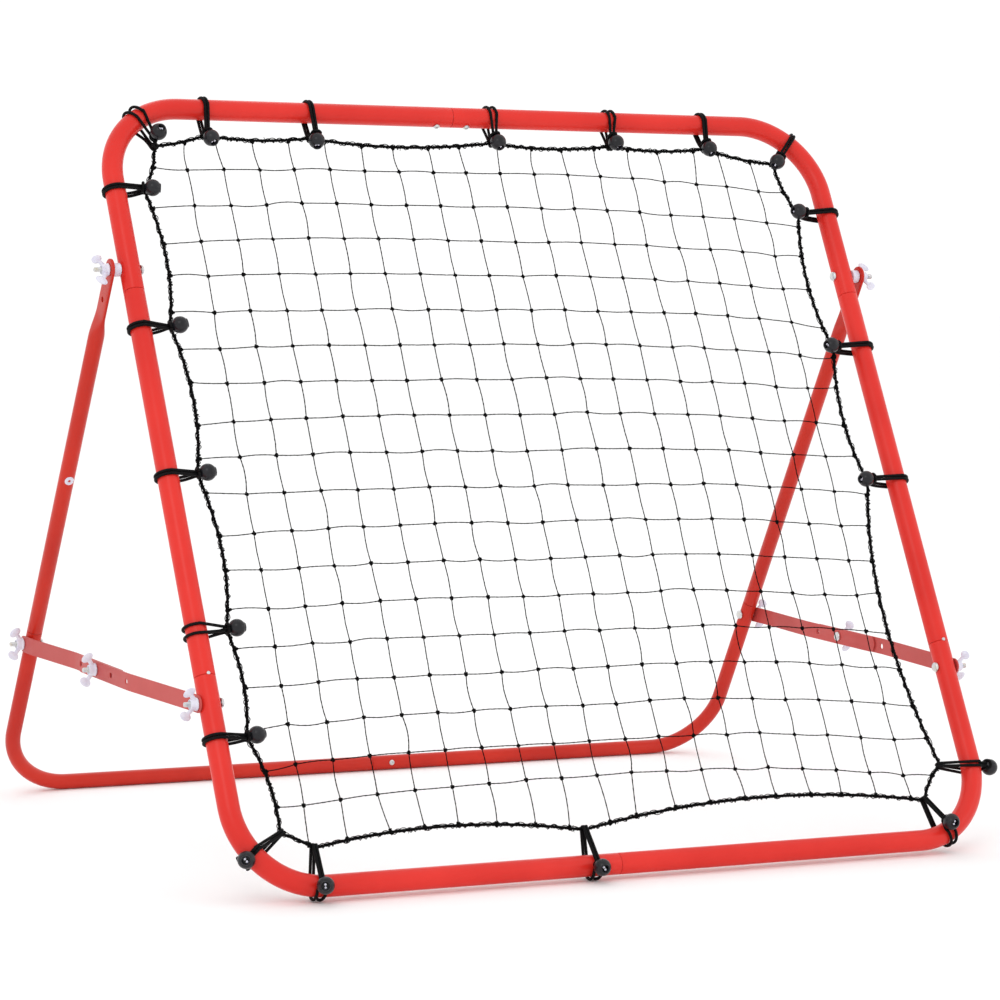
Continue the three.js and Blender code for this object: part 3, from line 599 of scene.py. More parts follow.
def leg(side, sign):
    """A leg: hollow tube, plugged into the floor tube below and pressed flat round its bolt above."""
    centre_x = sign * (HALF + LEG_OFFSET)
    bore = STAND_RADIUS - WALL
    plug = bore - PLUG_PLAY
    bottom = STAND_SEAM_UP + GAP
    press_low, press_high = LEG_LENGTH - 92 * MM, LEG_LENGTH - 58 * MM
    rings = [
        (press_low, bore, bore, 2), (bottom + 8 * MM, bore, bore, 2),
        (bottom + 6 * MM, plug - 1 * MM, plug - 1 * MM, 2),
        (bottom - PLUG_DEPTH, plug - 1 * MM, plug - 1 * MM, 2),
        (bottom - PLUG_DEPTH, plug - 0.4 * MM, plug - 0.4 * MM, 2),
        (bottom - PLUG_DEPTH + 1 * MM, plug, plug, 2),
        (bottom, plug, plug, 2), (bottom + 0.08 * MM, STAND_RADIUS - 0.5 * MM, STAND_RADIUS - 0.5 * MM, 2),
        (bottom + 0.4 * MM, STAND_RADIUS - 0.12 * MM, STAND_RADIUS - 0.12 * MM, 2),
        (bottom + 0.9 * MM, STAND_RADIUS, STAND_RADIUS, 2),
    ]
    steps = 24
    flat, wide = LEG_FLAT / 2, LEG_FLAT_WIDTH / 2
    square = 4.5  # how square the pressed part's outline is, where 2 is an ellipse
    for i in range(steps + 1):
        share = i / steps
        ease = share * share * (3 - 2 * share)
        rings.append((press_low + (press_high - press_low) * share,
                      STAND_RADIUS + (flat - STAND_RADIUS) * ease,
                      STAND_RADIUS + (wide - STAND_RADIUS) * ease, 2 + (square - 2) * ease))
    rings.append((LEG_LENGTH - 8 * MM, flat, wide, square))
    for i in range(14):
        angle = math.pi / 2 * i / 13.4
        thin = flat * min(1, 0.35 + 0.65 * math.cos(angle) ** 0.4)
        rings.append((LEG_LENGTH + wide * math.sin(angle), thin, wide * math.cos(angle), square))
    sides = 56
    vertices = []
    for up, half_thick, half_wide, power in rings:
        for i in range(sides):
            angle = 2 * math.pi * i / sides
            c, s = math.cos(angle), math.sin(angle)
            across = math.copysign(abs(c) ** (2 / power), c) * half_thick
            wise = math.copysign(abs(s) ** (2 / power), s) * half_wide
            vertices.append(on_stand(centre_x + across, up, wise))
    mesh = mesh_from(f"leg_tube_{side}", vertices, capped_faces(len(rings), sides))
    reach = 30 * MM
    drill = revolve([(0, -reach), (HOLE_RADIUS, -reach), (HOLE_RADIUS, reach), (0, reach)], 32)
    tool = drill.mesh("drill")
    tool.transform(along((1, 0, 0), on_stand(centre_x, LEG_LENGTH - 40 * MM)))
    mesh = cut(mesh, tool)
    mesh.name = f"leg_tube_{side}"
    mesh.set_sharp_from_angle(angle=math.radians(35))
    add_object(f"leg_tube_{side}", mesh, "rear_stand", STAND_PAINT, "stand_paint", (f"rear_leg_{side}",))


for side, sign in SIDES:
    leg(side, sign)


# ---------------------------------------------------------------- brace bars


def flat_bar(length, holes):
    """A bar with round ends, a row of holes and softly rounded edges, along +X from its first hole."""
    edge = 0.35 * MM
    curve = bpy.data.curves.new("bar", "CURVE")
    curve.dimensions = "2D"
    curve.fill_mode = "BOTH"
    curve.extrude = BAR_THICKNESS / 2 - edge
    curve.bevel_depth = edge
    curve.bevel_resolution = 3

    def loop(points):
        spline = curve.splines.new("POLY")
        spline.points.add(len(points) - 1)
        for place, (x, y) in zip(spline.points, points):
            place.co = (x, y, 0, 1)
        spline.use_cyclic_u = True

    radius = BAR_WIDTH / 2 - edge
    far = length - BAR_WIDTH / 2
    arc = [math.pi / 2 + math.pi * i / 20 for i in range(21)]
    outline = [(radius * math.cos(a), radius * math.sin(a)) for a in arc]
    outline += [(far - radius * math.cos(a), -radius * math.sin(a)) for a in arc]
    loop(outline)
    for hole in holes:
        turns = [2 * math.pi * i / 28 for i in range(28)]
        loop([(hole + (HOLE_RADIUS + edge) * math.cos(a), (HOLE_RADIUS + edge) * math.sin(a)) for a in turns])
    holder = bpy.data.objects.new("bar", curve)
    bpy.context.scene.collection.objects.link(holder)
    bpy.context.view_layer.update()
    mesh = bpy.data.meshes.new_from_object(holder.evaluated_get(bpy.context.evaluated_depsgraph_get()))
    bpy.data.objects.remove(holder)
    edit(mesh, lambda work: bmesh.ops.remove_doubles(work, verts=work.verts, dist=1e-6))
    return mesh


def slice_bar(mesh, places):
    """Cuts a bar crosswise without parting it, so that it can bend there."""

    def change(work):
        for place in places:
            everything = work.verts[:] + work.edges[:] + work.faces[:]
            bmesh.ops.bisect_plane(work, geom=everything, dist=1e-7, plane_co=(place, 0, 0),
                                   plane_no=(1, 0, 0))

    edit(mesh, change)


def finish_bar(name, mesh, place, body, node_name):
    for vertex in mesh.vertices:
        vertex.co = place(vertex.co)
    mesh.update()
    face_outward(mesh)
    shade(mesh, 32)
    mesh.name = name
    add_object(name, mesh, body, BRACE_PAINT, "brace_paint", (node_name,))


ALONG_BRACE = Vector((0, math.cos(BRACE_SLOPE), math.sin(BRACE_SLOPE)))
ACROSS_BRACE = Vector((0, -math.sin(BRACE_SLOPE), math.cos(BRACE_SLOPE)))
FRONT_REACH = BRACE_HALF + MIDDLE_REARWARD
REAR_REACH = BRACE_HALF - MIDDLE_REARWARD
FRONT_BAR_AT = FRAME_RADIUS + GAP + BAR_THICKNESS / 2
LEG_BAR_AT = LEG_OFFSET + STAND_RADIUS + GAP + BAR_THICKNESS / 2
FLAT_RUNS = BAR_FLAT + LEG_SIDE_FLAT + FRONT_FLAT + REAR_FLAT
SLANT = (LEG_BAR_AT + GAP + BAR_THICKNESS - FRONT_BAR_AT) / (2 * BRACE_HALF - FLAT_RUNS)


def brace_bar(name, side, sign, end, holes, bolt, onward, across_at, slant, flat_to, flat_from, body):
    """A bar that lies flat on its tube at the bolt, slants gently sideways, and is flat again further on."""
    mesh = flat_bar(end, holes)
    for bend in (flat_to, flat_from):
        slice_bar(mesh, np.linspace(bend - 10 * MM, bend + 10 * MM, 11))

    def gone(run):
        return (run + math.hypot(run, 3 * MM)) / 2

    def place(co):
        across = across_at + slant * (gone(co.x - flat_to) - gone(co.x - flat_from))
        base = Vector((sign * (HALF + across + co.z), bolt.y, bolt.z))
        return base + onward * co.x + ACROSS_BRACE * co.y

    finish_bar(f"{name}_{side}", mesh, place, body, f"brace_{name}_{side}")


for side, sign in SIDES:
    front_holes = [0, *(FRONT_REACH + step * HOLE_PITCH for step in (-2, -1, 0, 1))]
    brace_bar("front_bar", side, sign, FRONT_REACH + 60 * MM, front_holes, FRONT_BOLT, ALONG_BRACE,
              FRONT_BAR_AT, SLANT, BAR_FLAT, FRONT_REACH - FRONT_FLAT, f"front_brace_{side}")
    brace_bar("rear_bar", side, sign, REAR_REACH + 86 * MM, [0, REAR_REACH - HOLE_PITCH, REAR_REACH],
              REAR_BOLT, -ALONG_BRACE, LEG_BAR_AT, -SLANT, LEG_SIDE_FLAT, REAR_REACH - REAR_FLAT,
              f"rear_brace_{side}")


# ---------------------------------------------------------------- fasteners


def threaded(start, end, radius, sides):
    """Rings of a screw thread from one height to another, its far end chamfered."""
    pitch = 1 * MM
    rings = []
    step = pitch / 6
    count = int((end - start) / step)
    depth = 0.55 * MM
    for row in range(count + 1):
        height = start + (end - start) * row / count
        chamfer = max(0, height - (end - 0.8 * MM))
        for i in range(sides):
            phase = (height / pitch - i / sides) % 1
            cut_in = depth * abs(2 * phase - 1)
            reach = radius - cut_in - chamfer * 0.9
            angle = 2 * math.pi * i / sides
            rings.append((reach * math.cos(angle), reach * math.sin(angle), height))
    return rings, count + 1


def bolt_mesh(name, length, thread_from, with_head=True):
    """A bolt along +Z: domed head, plain neck, and a real thread to its tip."""
    sides = 28
    radius = 3 * MM
    if with_head:
        start = [(0.01, 0), (2.2, 0.12), (3.9, 0.55), (5.1, 1.25), (5.75, 2.1), (6, 3.1), (6, 3.75), (5.8, 4),
                 (3, 4)]
    else:
        start = [(0.01, 0), (2.7, 0), (3, 0.3)]
    plain = in_mm(start) + [(radius, thread_from)]
    vertices = []
    for r, h in plain:
        vertices += [(r * math.cos(2 * math.pi * i / sides), r * math.sin(2 * math.pi * i / sides), h)
                     for i in range(sides)]
    rings, rows = threaded(thread_from + 0.05 * MM, length, radius, sides)
    vertices += rings
    return mesh_from(name, vertices, capped_faces(len(plain) + rows, sides))


def node_axis(name):
    """The ends of a sideways fastener's box along X, and the middle of it in Y and Z."""
    low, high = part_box(name)
    return low.x, high.x, (low.y + high.y) / 2, (low.z + high.z) / 2


def fit_bolt(kind, side, sign, body, headed=True):
    node_name = f"{kind}_{side}"
    low, high, y, z = node_axis(node_name)
    start, direction = (low, 1) if sign > 0 else (high, -1)
    length = high - low
    name = f"steel_{kind}_{side}"
    mesh = bolt_mesh(name, length, max(length - 20 * MM, 5 * MM) if headed else 4 * MM, headed)
    mesh.transform(along((direction, 0, 0), (start, y, z), 0.4 * sign))
    add_object(name, mesh, body, ZINC, "zinc_steel", (node_name,))


def wing_nut_mesh():
    """A moulded wing nut along +Z: a collar, a tapered hub with a bore, and two rounded ears."""
    work = bmesh.new()

    def put(builder, matrix=Matrix.Identity(4)):
        mesh = builder.mesh("part")
        mesh.transform(matrix)
        work.from_mesh(mesh)
        bpy.data.meshes.remove(mesh)

    hub = [(3.1, 0), (7.3, 0), (7.6, 0.5), (7.6, 1.6), (7.1, 2.2), (6.6, 2.6), (6.3, 5), (5.9, 8.2), (5.3, 9),
           (4.6, 9), (4.4, 8.2), (3.1, 7.6), (3.1, 0)]
    put(revolve(in_mm(hub), 48))
    for turn in (0, math.pi):
        spin = Matrix.Rotation(turn, 4, "Z")
        arm = []
        for place, size in (((4.4, 4.2), 2.6), ((8.2, 6), 2.3), ((11.2, 8), 2.2)):
            arm.append((Vector((place[0], 0, place[1])) * MM, size * MM))
        for (a, ra), (b, rb) in zip(arm, arm[1:]):
            for step in range(5):
                share = step / 4
                centre, radius = a.lerp(b, share), ra + (rb - ra) * share
                shape = Matrix.Diagonal((radius, radius * 0.78, radius * 1.25, 1))
                shape = Matrix.Translation(centre) @ shape
                bmesh.ops.create_icosphere(work, subdivisions=3, radius=1, matrix=spin @ shape)
        tilt = Matrix.Rotation(math.radians(-38), 4, "Y")
        ear = Matrix.Translation(Vector((15, 0, 11.2)) * MM) @ tilt
        ear = ear @ Matrix.Diagonal((5 * MM, 2 * MM, 7.6 * MM, 1))
        bmesh.ops.create_icosphere(work, subdivisions=4, radius=1, matrix=spin @ ear)
    mesh = bpy.data.meshes.new("wing_nut")
    work.to_mesh(mesh)
    work.free()
    mesh = modified(mesh, ("REMESH", {"mode": "VOXEL", "voxel_size": 0.36 * MM}),
                    ("SMOOTH", {"factor": 0.6, "iterations": 3}), ("DECIMATE", {"ratio": 0.35}))
    shade(mesh)
    return mesh


WING_NUT = wing_nut_mesh()


def fit_wing_nut(kind, side, sign, turn):
    """A wing nut whose collar lies where the CAD nut's base does."""
    name = f"{kind}_{side}"
    low, high, _, _ = node_axis(name)
    base = low if sign > 0 else high
    place = JOINT[f"{name}_turn"]
    mesh = WING_NUT.copy()
    mesh.transform(along((sign, 0, 0), (base, place.y, place.z)) @ Matrix.Rotation(turn, 4, "Z"))
    add_object(f"nylon_{name}", mesh, name, NYLON, "white_nylon", (name,))


def spacer(side):
    """The nylon bush between a side tube and a leg, with rounded rims."""
    low, high, y, z = node_axis(f"pivot_spacer_{side}")
    length = high - low
    rim, shoulder = 0.9 * MM, 0.27 * MM
    outer, bore = 8 * MM, 3.3 * MM
    profile = [(bore, 0), (outer - rim, 0), (outer - shoulder, shoulder), (outer, rim), (outer, length - rim),
               (outer - shoulder, length - shoulder), (outer - rim, length), (bore, length), (bore, 0)]
    mesh = revolve(profile, 48).mesh(f"nylon_spacer_{side}")
    mesh.transform(along((1, 0, 0), (low, y, z)))
    add_object(f"nylon_spacer_{side}", mesh, "front_frame", NYLON, "white_nylon", (f"pivot_spacer_{side}",))


def small_screw(name, place, direction, head, body, node_name):
    """A pan head screw with a cross recess, its head's underside at a place, its shank along a direction."""
    rise, length = 2.3 * MM, 6 * MM
    profile = [(0, -rise), (head * 0.45, -rise), (head * 0.8, -rise * 0.8), (head, -rise * 0.4), (head, 0),
               (1.9 * MM, 0), (1.9 * MM, length - 1 * MM), (0.8 * MM, length), (0, length)]
    mesh = revolve(profile, 40).mesh("screw")
    for turn in range(2):
        cross = bpy.data.meshes.new("cross")
        single = bmesh.new()
        size = Matrix.Diagonal((head * 1.1, head * 0.26, 2.2 * MM, 1))
        placed = Matrix.Translation((0, 0, -rise)) @ Matrix.Rotation(turn * math.pi / 2, 4, "Z") @ size
        bmesh.ops.create_cube(single, size=1, matrix=placed)
        single.to_mesh(cross)
        single.free()
        mesh = cut(mesh, cross)
    mesh.transform(along(direction, place, 0.6))
    shade(mesh, 30)
    mesh.name = name
    add_object(name, mesh, body, ZINC, "zinc_steel", (node_name,))


for side, sign in SIDES:
    fit_bolt("pivot_bolt", side, sign, "front_frame")
    fit_bolt("front_brace_bolt", side, sign, "front_frame")
    fit_bolt("rear_brace_bolt", side, sign, "rear_stand")
    fit_bolt("brace_middle_bolt", side, sign, f"rear_brace_{side}")
    fit_bolt("brace_middle_bolt_end", side, sign, f"front_brace_{side}", headed=False)
    spacer(side)
    for kind, turn in (("pivot_wing_nut", 0.9), ("front_brace_wing_nut", 1.92),
                       ("brace_middle_wing_nut", 1.75), ("rear_brace_wing_nut", 1.77)):
        fit_wing_nut(kind, side, sign, turn * sign)

for number, offset in ((1, -20.5 * MM), (2, 20.5 * MM)):
    small_screw(f"top_screw_{number}", on_frame(TOP_SEAM_X + offset, SPAN - FRAME_RADIUS - GAP), UP_FRAME,
                4 * MM, "front_frame", f"top_bar_screw_{number}")
screw_low, screw_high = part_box("floor_tube_screw")
screw_middle = (screw_low + screw_high) / 2
floor_axis = on_stand(screw_middle.x, 0)
into_floor_tube = (floor_axis - screw_middle).normalized()
small_screw("floor_screw", floor_axis - into_floor_tube * (STAND_RADIUS + 0.25 * MM), into_floor_tube,
            3.6 * MM, "rear_stand", "floor_tube_screw")

vertices, faces = sweep(sleeve_path, [(sleeve_path.length, 11.1 * MM), (0, 11.1 * MM), (0, 9.9 * MM),
                                      (sleeve_path.length, 9.9 * MM)])
add_object("steel_sleeve", mesh_from("steel_sleeve", vertices, faces), "front_frame", ZINC, "zinc_steel",
           ("top_bar_sleeve",))


# ---------------------------------------------------------------- where the ties hold the net

CORD_RADIUS = 1.8 * MM
ROPE_RADIUS = 1.9 * MM
ROUND_TUBE = FRAME_RADIUS + CORD_RADIUS + 0.2 * MM
ROUND_ROPE = ROPE_RADIUS + CORD_RADIUS + 0.2 * MM
BALLS_ON_TUBE = ("bottom_right_corner", "bottom_2", "bottom_1", "bottom_left_corner")
BALLS_OUTSIDE = ("right_4",)


def tie_places():
    """Each tie's place on the tube's axis, its direction towards the net, and its distance to the rope."""
    places = {}
    for name, node_object in frame["nodes"].items():
        if not name.startswith("ball_tie_"):
            continue
        points = np.array([v.co for v in node_object.data.vertices]) - np.array(FRAME_ORIGIN)
        x, up = points[:, 0], points @ np.array(UP_FRAME)
        middle = Vector(((x.min() + x.max()) / 2, (up.min() + up.max()) / 2))
        centre = Vector((0, HALF))
        away = middle - centre
        straight = HALF - FRAME_BEND
        if abs(away.x) > straight * 0.98 and abs(away.y) > straight * 0.98:
            signs = Vector((math.copysign(1, away.x), math.copysign(1, away.y)))
            bend_centre = centre + signs * straight
            mean = Vector((x.mean(), up.mean()))
            outward = (mean - bend_centre).normalized()
            at = bend_centre + outward * FRAME_BEND
            rope_bend = Vector(NET_CENTRE) + Vector((signs.x * (NET_HALF[0] - NET_BEND),
                                                     signs.y * (NET_HALF[1] - NET_BEND)))
            lead = (at - rope_bend).dot(outward)
            reach = lead - math.sqrt(lead * lead - (at - rope_bend).length_squared + NET_BEND**2)
        elif abs(away.x) > abs(away.y):
            outward = Vector((math.copysign(1, away.x), 0))
            at = Vector((outward.x * HALF, middle.y))
            reach = abs(at.x - NET_CENTRE[0]) - NET_HALF[0]
        else:
            outward = Vector((0, math.copysign(1, away.y)))
            at = Vector((middle.x, HALF + outward.y * HALF))
            reach = abs(at.y - NET_CENTRE[1]) - NET_HALF[1]
        places[name.removeprefix("ball_tie_")] = (at, -outward, reach)
    return places


TIES = tie_places()


# ---------------------------------------------------------------- net: a spring relaxation

# Dip of the edge rope between two ties, for each length between them
SCALLOP = {"top": 0.037, "left": 0.065, "right": 0.07, "bottom": 0.045}
STRAND_SHORT = 0.91  # unstretched length of a strand, as a share of its stretched one
NET_WEIGHT = np.array((0, -0.45, -0.26)) * 0.0016 * MM  # pull on each knot: across, up and out
RELAX_STEPS = 2500
RELAX_GAIN = 0.1  # how much of a pull becomes speed in one step
RELAX_DRAG = 0.96  # how much of its speed a knot keeps from one step to the next


def rope_loop():
    """The edge rope's line: it runs from tie to tie, drawn inwards between them by the net."""
    anchors = []
    for at, inward, reach in TIES.values():
        place = at + inward * reach
        anchors.append((math.atan2(place.y - NET_CENTRE[1], place.x - NET_CENTRE[0]), place))
    anchors = [place for _, place in sorted(anchors, key=lambda entry: entry[0])]
    rope = []
    for a, b in zip(anchors, anchors[1:] + anchors[:1]):
        run = b - a
        inward = Vector((-run.y, run.x)).normalized()
        middle = (a + b) / 2 - Vector(NET_CENTRE)
        if abs(middle.x) > abs(middle.y):
            share = SCALLOP["left" if middle.x < 0 else "right"]
        else:
            share = SCALLOP["bottom" if middle.y < 0 else "top"]
        lean = rng.uniform(-0.12, 0.12)
        count = max(round(run.length / (6 * MM)), 3)
        for i in range(count):
            t = i / count
            sag = 4 * t * (1 - t) * (1 + lean * (1 - 2 * t)) * share * run.length
            place = a + run * t + inward * sag
            rope.append((place.x, place.y, 0))
    return np.array(rope)


# How far the upright strands lean, and how far those on the right are drawn inwards
SKEW = (4 * MM, 6 * MM)
DROOP = (19 * MM, 6 * MM)  # how far the level strands sink towards the right edge and towards the left edge
ARCH = 9 * MM  # how far the lowest row rises in its middle


def relax_net():
    """Knots and edge rope at rest, in the frame's own plane: across, up and out, in metres."""
    rope = rope_loop()
    knots = np.zeros((STRANDS, STRANDS, 3))
    spread = np.linspace(-1, 1, STRANDS)
    across, rise = np.meshgrid(spread, spread, indexing="ij")
    knots[..., 0] = FIRST_KNOT[0] + MESH[0] * np.arange(STRANDS)[:, None]
    knots[..., 1] = FIRST_KNOT[1] + MESH[1] * np.arange(STRANDS)[None, :]
    knots[..., 0] += SKEW[0] * rise - SKEW[1] * np.maximum(across, 0) ** 2
    knots[..., 1] -= DROOP[0] * np.maximum(across, 0) ** 3 + DROOP[1] * np.maximum(-across, 0) ** 8
    knots[..., 1] += ARCH * (np.maximum(-rise, 0) ** 6) * (1 - across**2)
    total_rope = len(rope)
    points = np.concatenate([rope, knots.reshape(-1, 3)])
    links, rests = [], []

    def knot(i, j):
        return total_rope + i * STRANDS + j

    def link(a, b):
        links.append((a, b))
        apart = np.linalg.norm(points[a] - points[b])
        rests.append(apart * STRAND_SHORT * (1 + 0.022 * rng.standard_normal()))

    for i in range(STRANDS):
        for j in range(STRANDS):
            if i + 1 < STRANDS:
                link(knot(i, j), knot(i + 1, j))
            if j + 1 < STRANDS:
                link(knot(i, j), knot(i, j + 1))
    lacings = []
    for edge in range(4):
        for k in range(STRANDS):
            i, j = ((k, STRANDS - 1), (k, 0), (0, k), (STRANDS - 1, k))[edge]
            target = knots[i, j] + np.array(((0, 1, 0), (0, -1, 0), (-1, 0, 0), (1, 0, 0))[edge]) * MESH[0]
            target[:2] += rng.normal(0, 3 * MM, 2)
            nearest = int(np.argmin(np.linalg.norm(rope - target, axis=1)))
            link(knot(i, j), nearest)
            lacings.append((knot(i, j), nearest))
    links = np.array(links)
    rests = np.array(rests)
    speed = np.zeros_like(points)
    for _ in range(RELAX_STEPS):
        force = np.tile(NET_WEIGHT, (len(points), 1))
        gap = points[links[:, 1]] - points[links[:, 0]]
        length = np.linalg.norm(gap, axis=1)
        pull = gap * (np.maximum(length - rests, 0) / length)[:, None]
        np.add.at(force, links[:, 0], pull)
        np.add.at(force, links[:, 1], -pull)
        speed = (speed + RELAX_GAIN * force) * RELAX_DRAG
        points[total_rope:] += speed[total_rope:]
    return points, total_rope, links, lacings


NET_POINTS, ROPE_COUNT, NET_LINKS, LACINGS = relax_net()


def from_plane(points):
    """Points from the frame's plane, as across, up and out, to the row frame."""
    points = np.atleast_2d(points)
    return (np.array(FRAME_ORIGIN) + points[:, :1] * np.array((1.0, 0, 0))
            + points[:, 1:2] * np.array(UP_FRAME) + points[:, 2:3] * np.array(OUT_OF_FRAME))


def smooth_loop(points, per_step):
    """A closed Catmull-Rom curve through points."""
    points = np.asarray(points)
    a, b, c, d = (np.roll(points, n, 0) for n in (1, 0, -1, -2))
    t = (np.arange(per_step) / per_step)[None, :, None]
    a, b, c, d = (p[:, None, :] for p in (a, b, c, d))
    curve = 0.5 * (2 * b + (c - a) * t + (2 * a - 5 * b + 4 * c - d) * t**2 + (3 * b - a - 3 * c + d) * t**3)
    return curve.reshape(-1, 3)


def smooth_line(points, per_step):
    """An open Catmull-Rom curve through points."""
    points = np.asarray(points, float)
    padded = np.concatenate([points[:1] * 2 - points[1:2], points, points[-1:] * 2 - points[-2:-1]])
    out = []
    for i in range(len(points) - 1):
        a, b, c, d = padded[i : i + 4]
        for t in np.arange(per_step) / per_step:
            out.append(0.5 * (2 * b + (c - a) * t + (2 * a - 5 * b + 4 * c - d) * t**2
                              + (3 * b - a - 3 * c + d) * t**3))
    out.append(points[-1])
    return np.array(out)


TWINE_RADIUS = 0.66 * MM


def net_strands():
    """Every strand between two knots, as twisted twine with a slight wander."""
    builder = Builder()
    for a, b in NET_LINKS:
        ends = NET_POINTS[[a, b]]
        gap = ends[1] - ends[0]
        bend = rng.normal(0, 1.0 * MM, 3) * np.array((1, 1, 0.6))
        bend -= gap * bend.dot(gap) / gap.dot(gap)
        t = np.linspace(0, 1, 17)[:, None]
        wander = bend + rng.normal(0, 0.07 * MM, (17, 3))
        line = ends[0] + gap * t + wander * np.sin(math.pi * t)
        builder.tube(from_plane(line), TWINE_RADIUS, 6, lobes=2, lay=5 * MM)
    return builder


def knot_turns(size, seed):
    """A closed cord path like a small overhand knot."""
    t = np.linspace(0, 2 * math.pi, 30, endpoint=False)
    path = np.stack([np.sin(t) + 2 * np.sin(2 * t), np.cos(t) - 2 * np.cos(2 * t), -1.2 * np.sin(3 * t)], 1)
    turn = np.array(Matrix.Rotation(seed, 3, "Z") @ Matrix.Rotation(0.5 * math.sin(seed * 7), 3, "X"))
    return (path @ turn.T) * size


def net_knots():
    """A knot at every crossing, and a larger one wherever a strand meets the edge rope."""
    builder = Builder()
    for index in range(ROPE_COUNT, len(NET_POINTS)):
        path = knot_turns(0.66 * MM, rng.uniform(0, 2 * math.pi)) * np.array((1, 1, 0.8))
        thick = KNOT_RADIUS * rng.uniform(0.9, 1.15)
        builder.tube(from_plane(NET_POINTS[index] + path), thick, 6, closed=True)
    for knot, node_index in LACINGS:
        towards = NET_POINTS[knot] - NET_POINTS[node_index]
        towards /= np.linalg.norm(towards)
        for lift, size in ((2.6 * MM, 0.62 * MM), (0.3 * MM, 0.95 * MM)):
            path = knot_turns(size, rng.uniform(0, 2 * math.pi))
            builder.tube(from_plane(NET_POINTS[node_index] + towards * lift + path), 0.8 * MM, 6, closed=True)
    return builder


def along_loop(loop):
    """Lengths along a closed loop of points, and its frame vectors."""
    steps = np.linalg.norm(np.roll(loop, -1, 0) - loop, axis=1)
    run = np.concatenate(([0], np.cumsum(steps)[:-1]))
    _, side, up = parallel_frames(loop, True)
    return run, steps.sum(), side, up


def edge_rope():
    """The laid edge rope: three strands twisted round each other."""
    centre = smooth_loop(from_plane(NET_POINTS[:ROPE_COUNT]), 6)
    run, total, side, up = along_loop(centre)
    lays = round(total / (11 * MM))
    builder = Builder()
    for strand in range(3):
        turn = 2 * math.pi * (lays * run / total + strand / 3)
        wobble = 0.08 * MM * np.sin(9 * turn / 4 + strand)
        offset = (0.98 * MM + wobble)[:, None] * (np.cos(turn)[:, None] * side + np.sin(turn)[:, None] * up)
        builder.tube(centre + offset, 1.0 * MM, 8, closed=True)
    return builder


def rope_lacing():
    """The net's border twine wound round the edge rope, loose in places, with cut ends standing proud."""
    centre = smooth_loop(from_plane(NET_POINTS[:ROPE_COUNT]), 4)
    run, total, side, up = along_loop(centre)
    builder = Builder()
    for start, lay, radius in ((0.3, 15 * MM, 2.5 * MM), (2.1, 21 * MM, 2.7 * MM)):
        turns = round(total / lay)
        wander = sum(math.pi * 0.25 * np.sin(2 * math.pi * n * run / total + n) for n in (23, 37, 61))
        turn = start + 2 * math.pi * turns * run / total + wander
        reach = radius + 0.5 * MM * np.abs(np.sin(2 * math.pi * 47 * run / total + start)) ** 3
        offset = reach[:, None] * (np.cos(turn)[:, None] * side + np.sin(turn)[:, None] * up)
        builder.tube(centre + offset, 0.55 * MM, 5, closed=True)
    for _ in range(150):
        i = int(rng.integers(len(centre)))
        angle = rng.uniform(0, 2 * math.pi)
        out = math.cos(angle) * side[i] + math.sin(angle) * up[i]
        drift = np.cross(side[i], up[i]) * rng.normal(0, 1.4 * MM)
        end = centre[i] + out * rng.uniform(3.4, 5.2) * MM + drift
        root = centre[i] + out * 1.6 * MM
        elbow = (centre[i] + out * 2.6 * MM + end) / 2 + drift * 0.2
        builder.tube(np.array([root, elbow, end]), np.array([0.4, 0.36, 0.2]) * MM, 5)
    return builder


add_object("net_strands", net_strands().mesh("net_strands"), "front_frame", TWINE, "net_twine", ("net",))
add_object("net_knots", net_knots().mesh("net_knots"), "front_frame", TWINE, "net_twine")
add_object("laid_edge_rope", edge_rope().mesh("laid_edge_rope"), "front_frame", ROPE_FIBRE, "edge_rope",
           ("net_edge_rope",))
add_object("edge_lacing", rope_lacing().mesh("edge_lacing"), "front_frame", TWINE, "edge_rope")


# ---------------------------------------------------------------- ball ties


def ball_mesh():
    """A moulded ball along +Z: a neck below where the cord goes in, and a flared hole above."""
    low = [(0, -12.2), (2.6, -12.2), (3.3, -11.9), (3.6, -11.2), (3.7, -10.2), (4.1, -9.4)]
    round_part = [(10 * math.cos(a), 10 * math.sin(a)) for a in np.radians(np.linspace(-62, 56, 22))]
    high = [(5.5, 8.9), (5.2, 9.5), (4.7, 9.6), (4.3, 9.2), (3.9, 8.2), (3.7, 6.5), (3.6, 3.2), (0, 3)]
    return revolve(in_mm(low + round_part + high), 40).mesh("ball")


BALL_MESH = ball_mesh()

# Which way each ball's open hole faces, where it does not face the net: across, up and out of the frame
HOLE_FACES = {
    "top_left_corner": (0.15, 0.14, 0.98),
    "top_1": (0.12, -0.91, 0.39),
    "top_2": (-0.16, -0.98, 0.12),
    "bottom_left_corner": (-0.45, -0.31, 0.84),
    "bottom_1": (-0.43, -0.33, 0.84),
    "bottom_2": (-0.11, -0.49, 0.86),
    "bottom_right_corner": (-0.04, -0.48, 0.88),
    "right_4": (0.72, -0.1, -0.66),
}
# Where a ball sits, in millimetres: towards the net from the tube's axis, out of the frame, along the tube
BALL_PLACES = {
    "bottom_left_corner": (-17.5, 14.5, 8),
    "bottom_1": (-7, 22.5, -1.5),
    "bottom_2": (-9.5, 22, -0.5),
    "bottom_right_corner": (7, 24, 1),
    "right_4": (-25, 3, 0),
}
# How far, in millimetres, a ball stands from its usual place: towards the net, and along the tube
BALL_SHIFTS = {
    "top_left_corner": (0, 10),
    "top_1": (0, 4),
    "top_2": (0, 4),
    "top_3": (-5, 3.5),
    "top_4": (-9, 3),
    "top_5": (-4, 0),
    "top_right_corner": (-8, 2),
    "left_1": (-2, -3),
    "left_2": (0, -3),
    "left_3": (0, -3),
    "left_4": (0, -3),
    "right_1": (-3, 0),
}
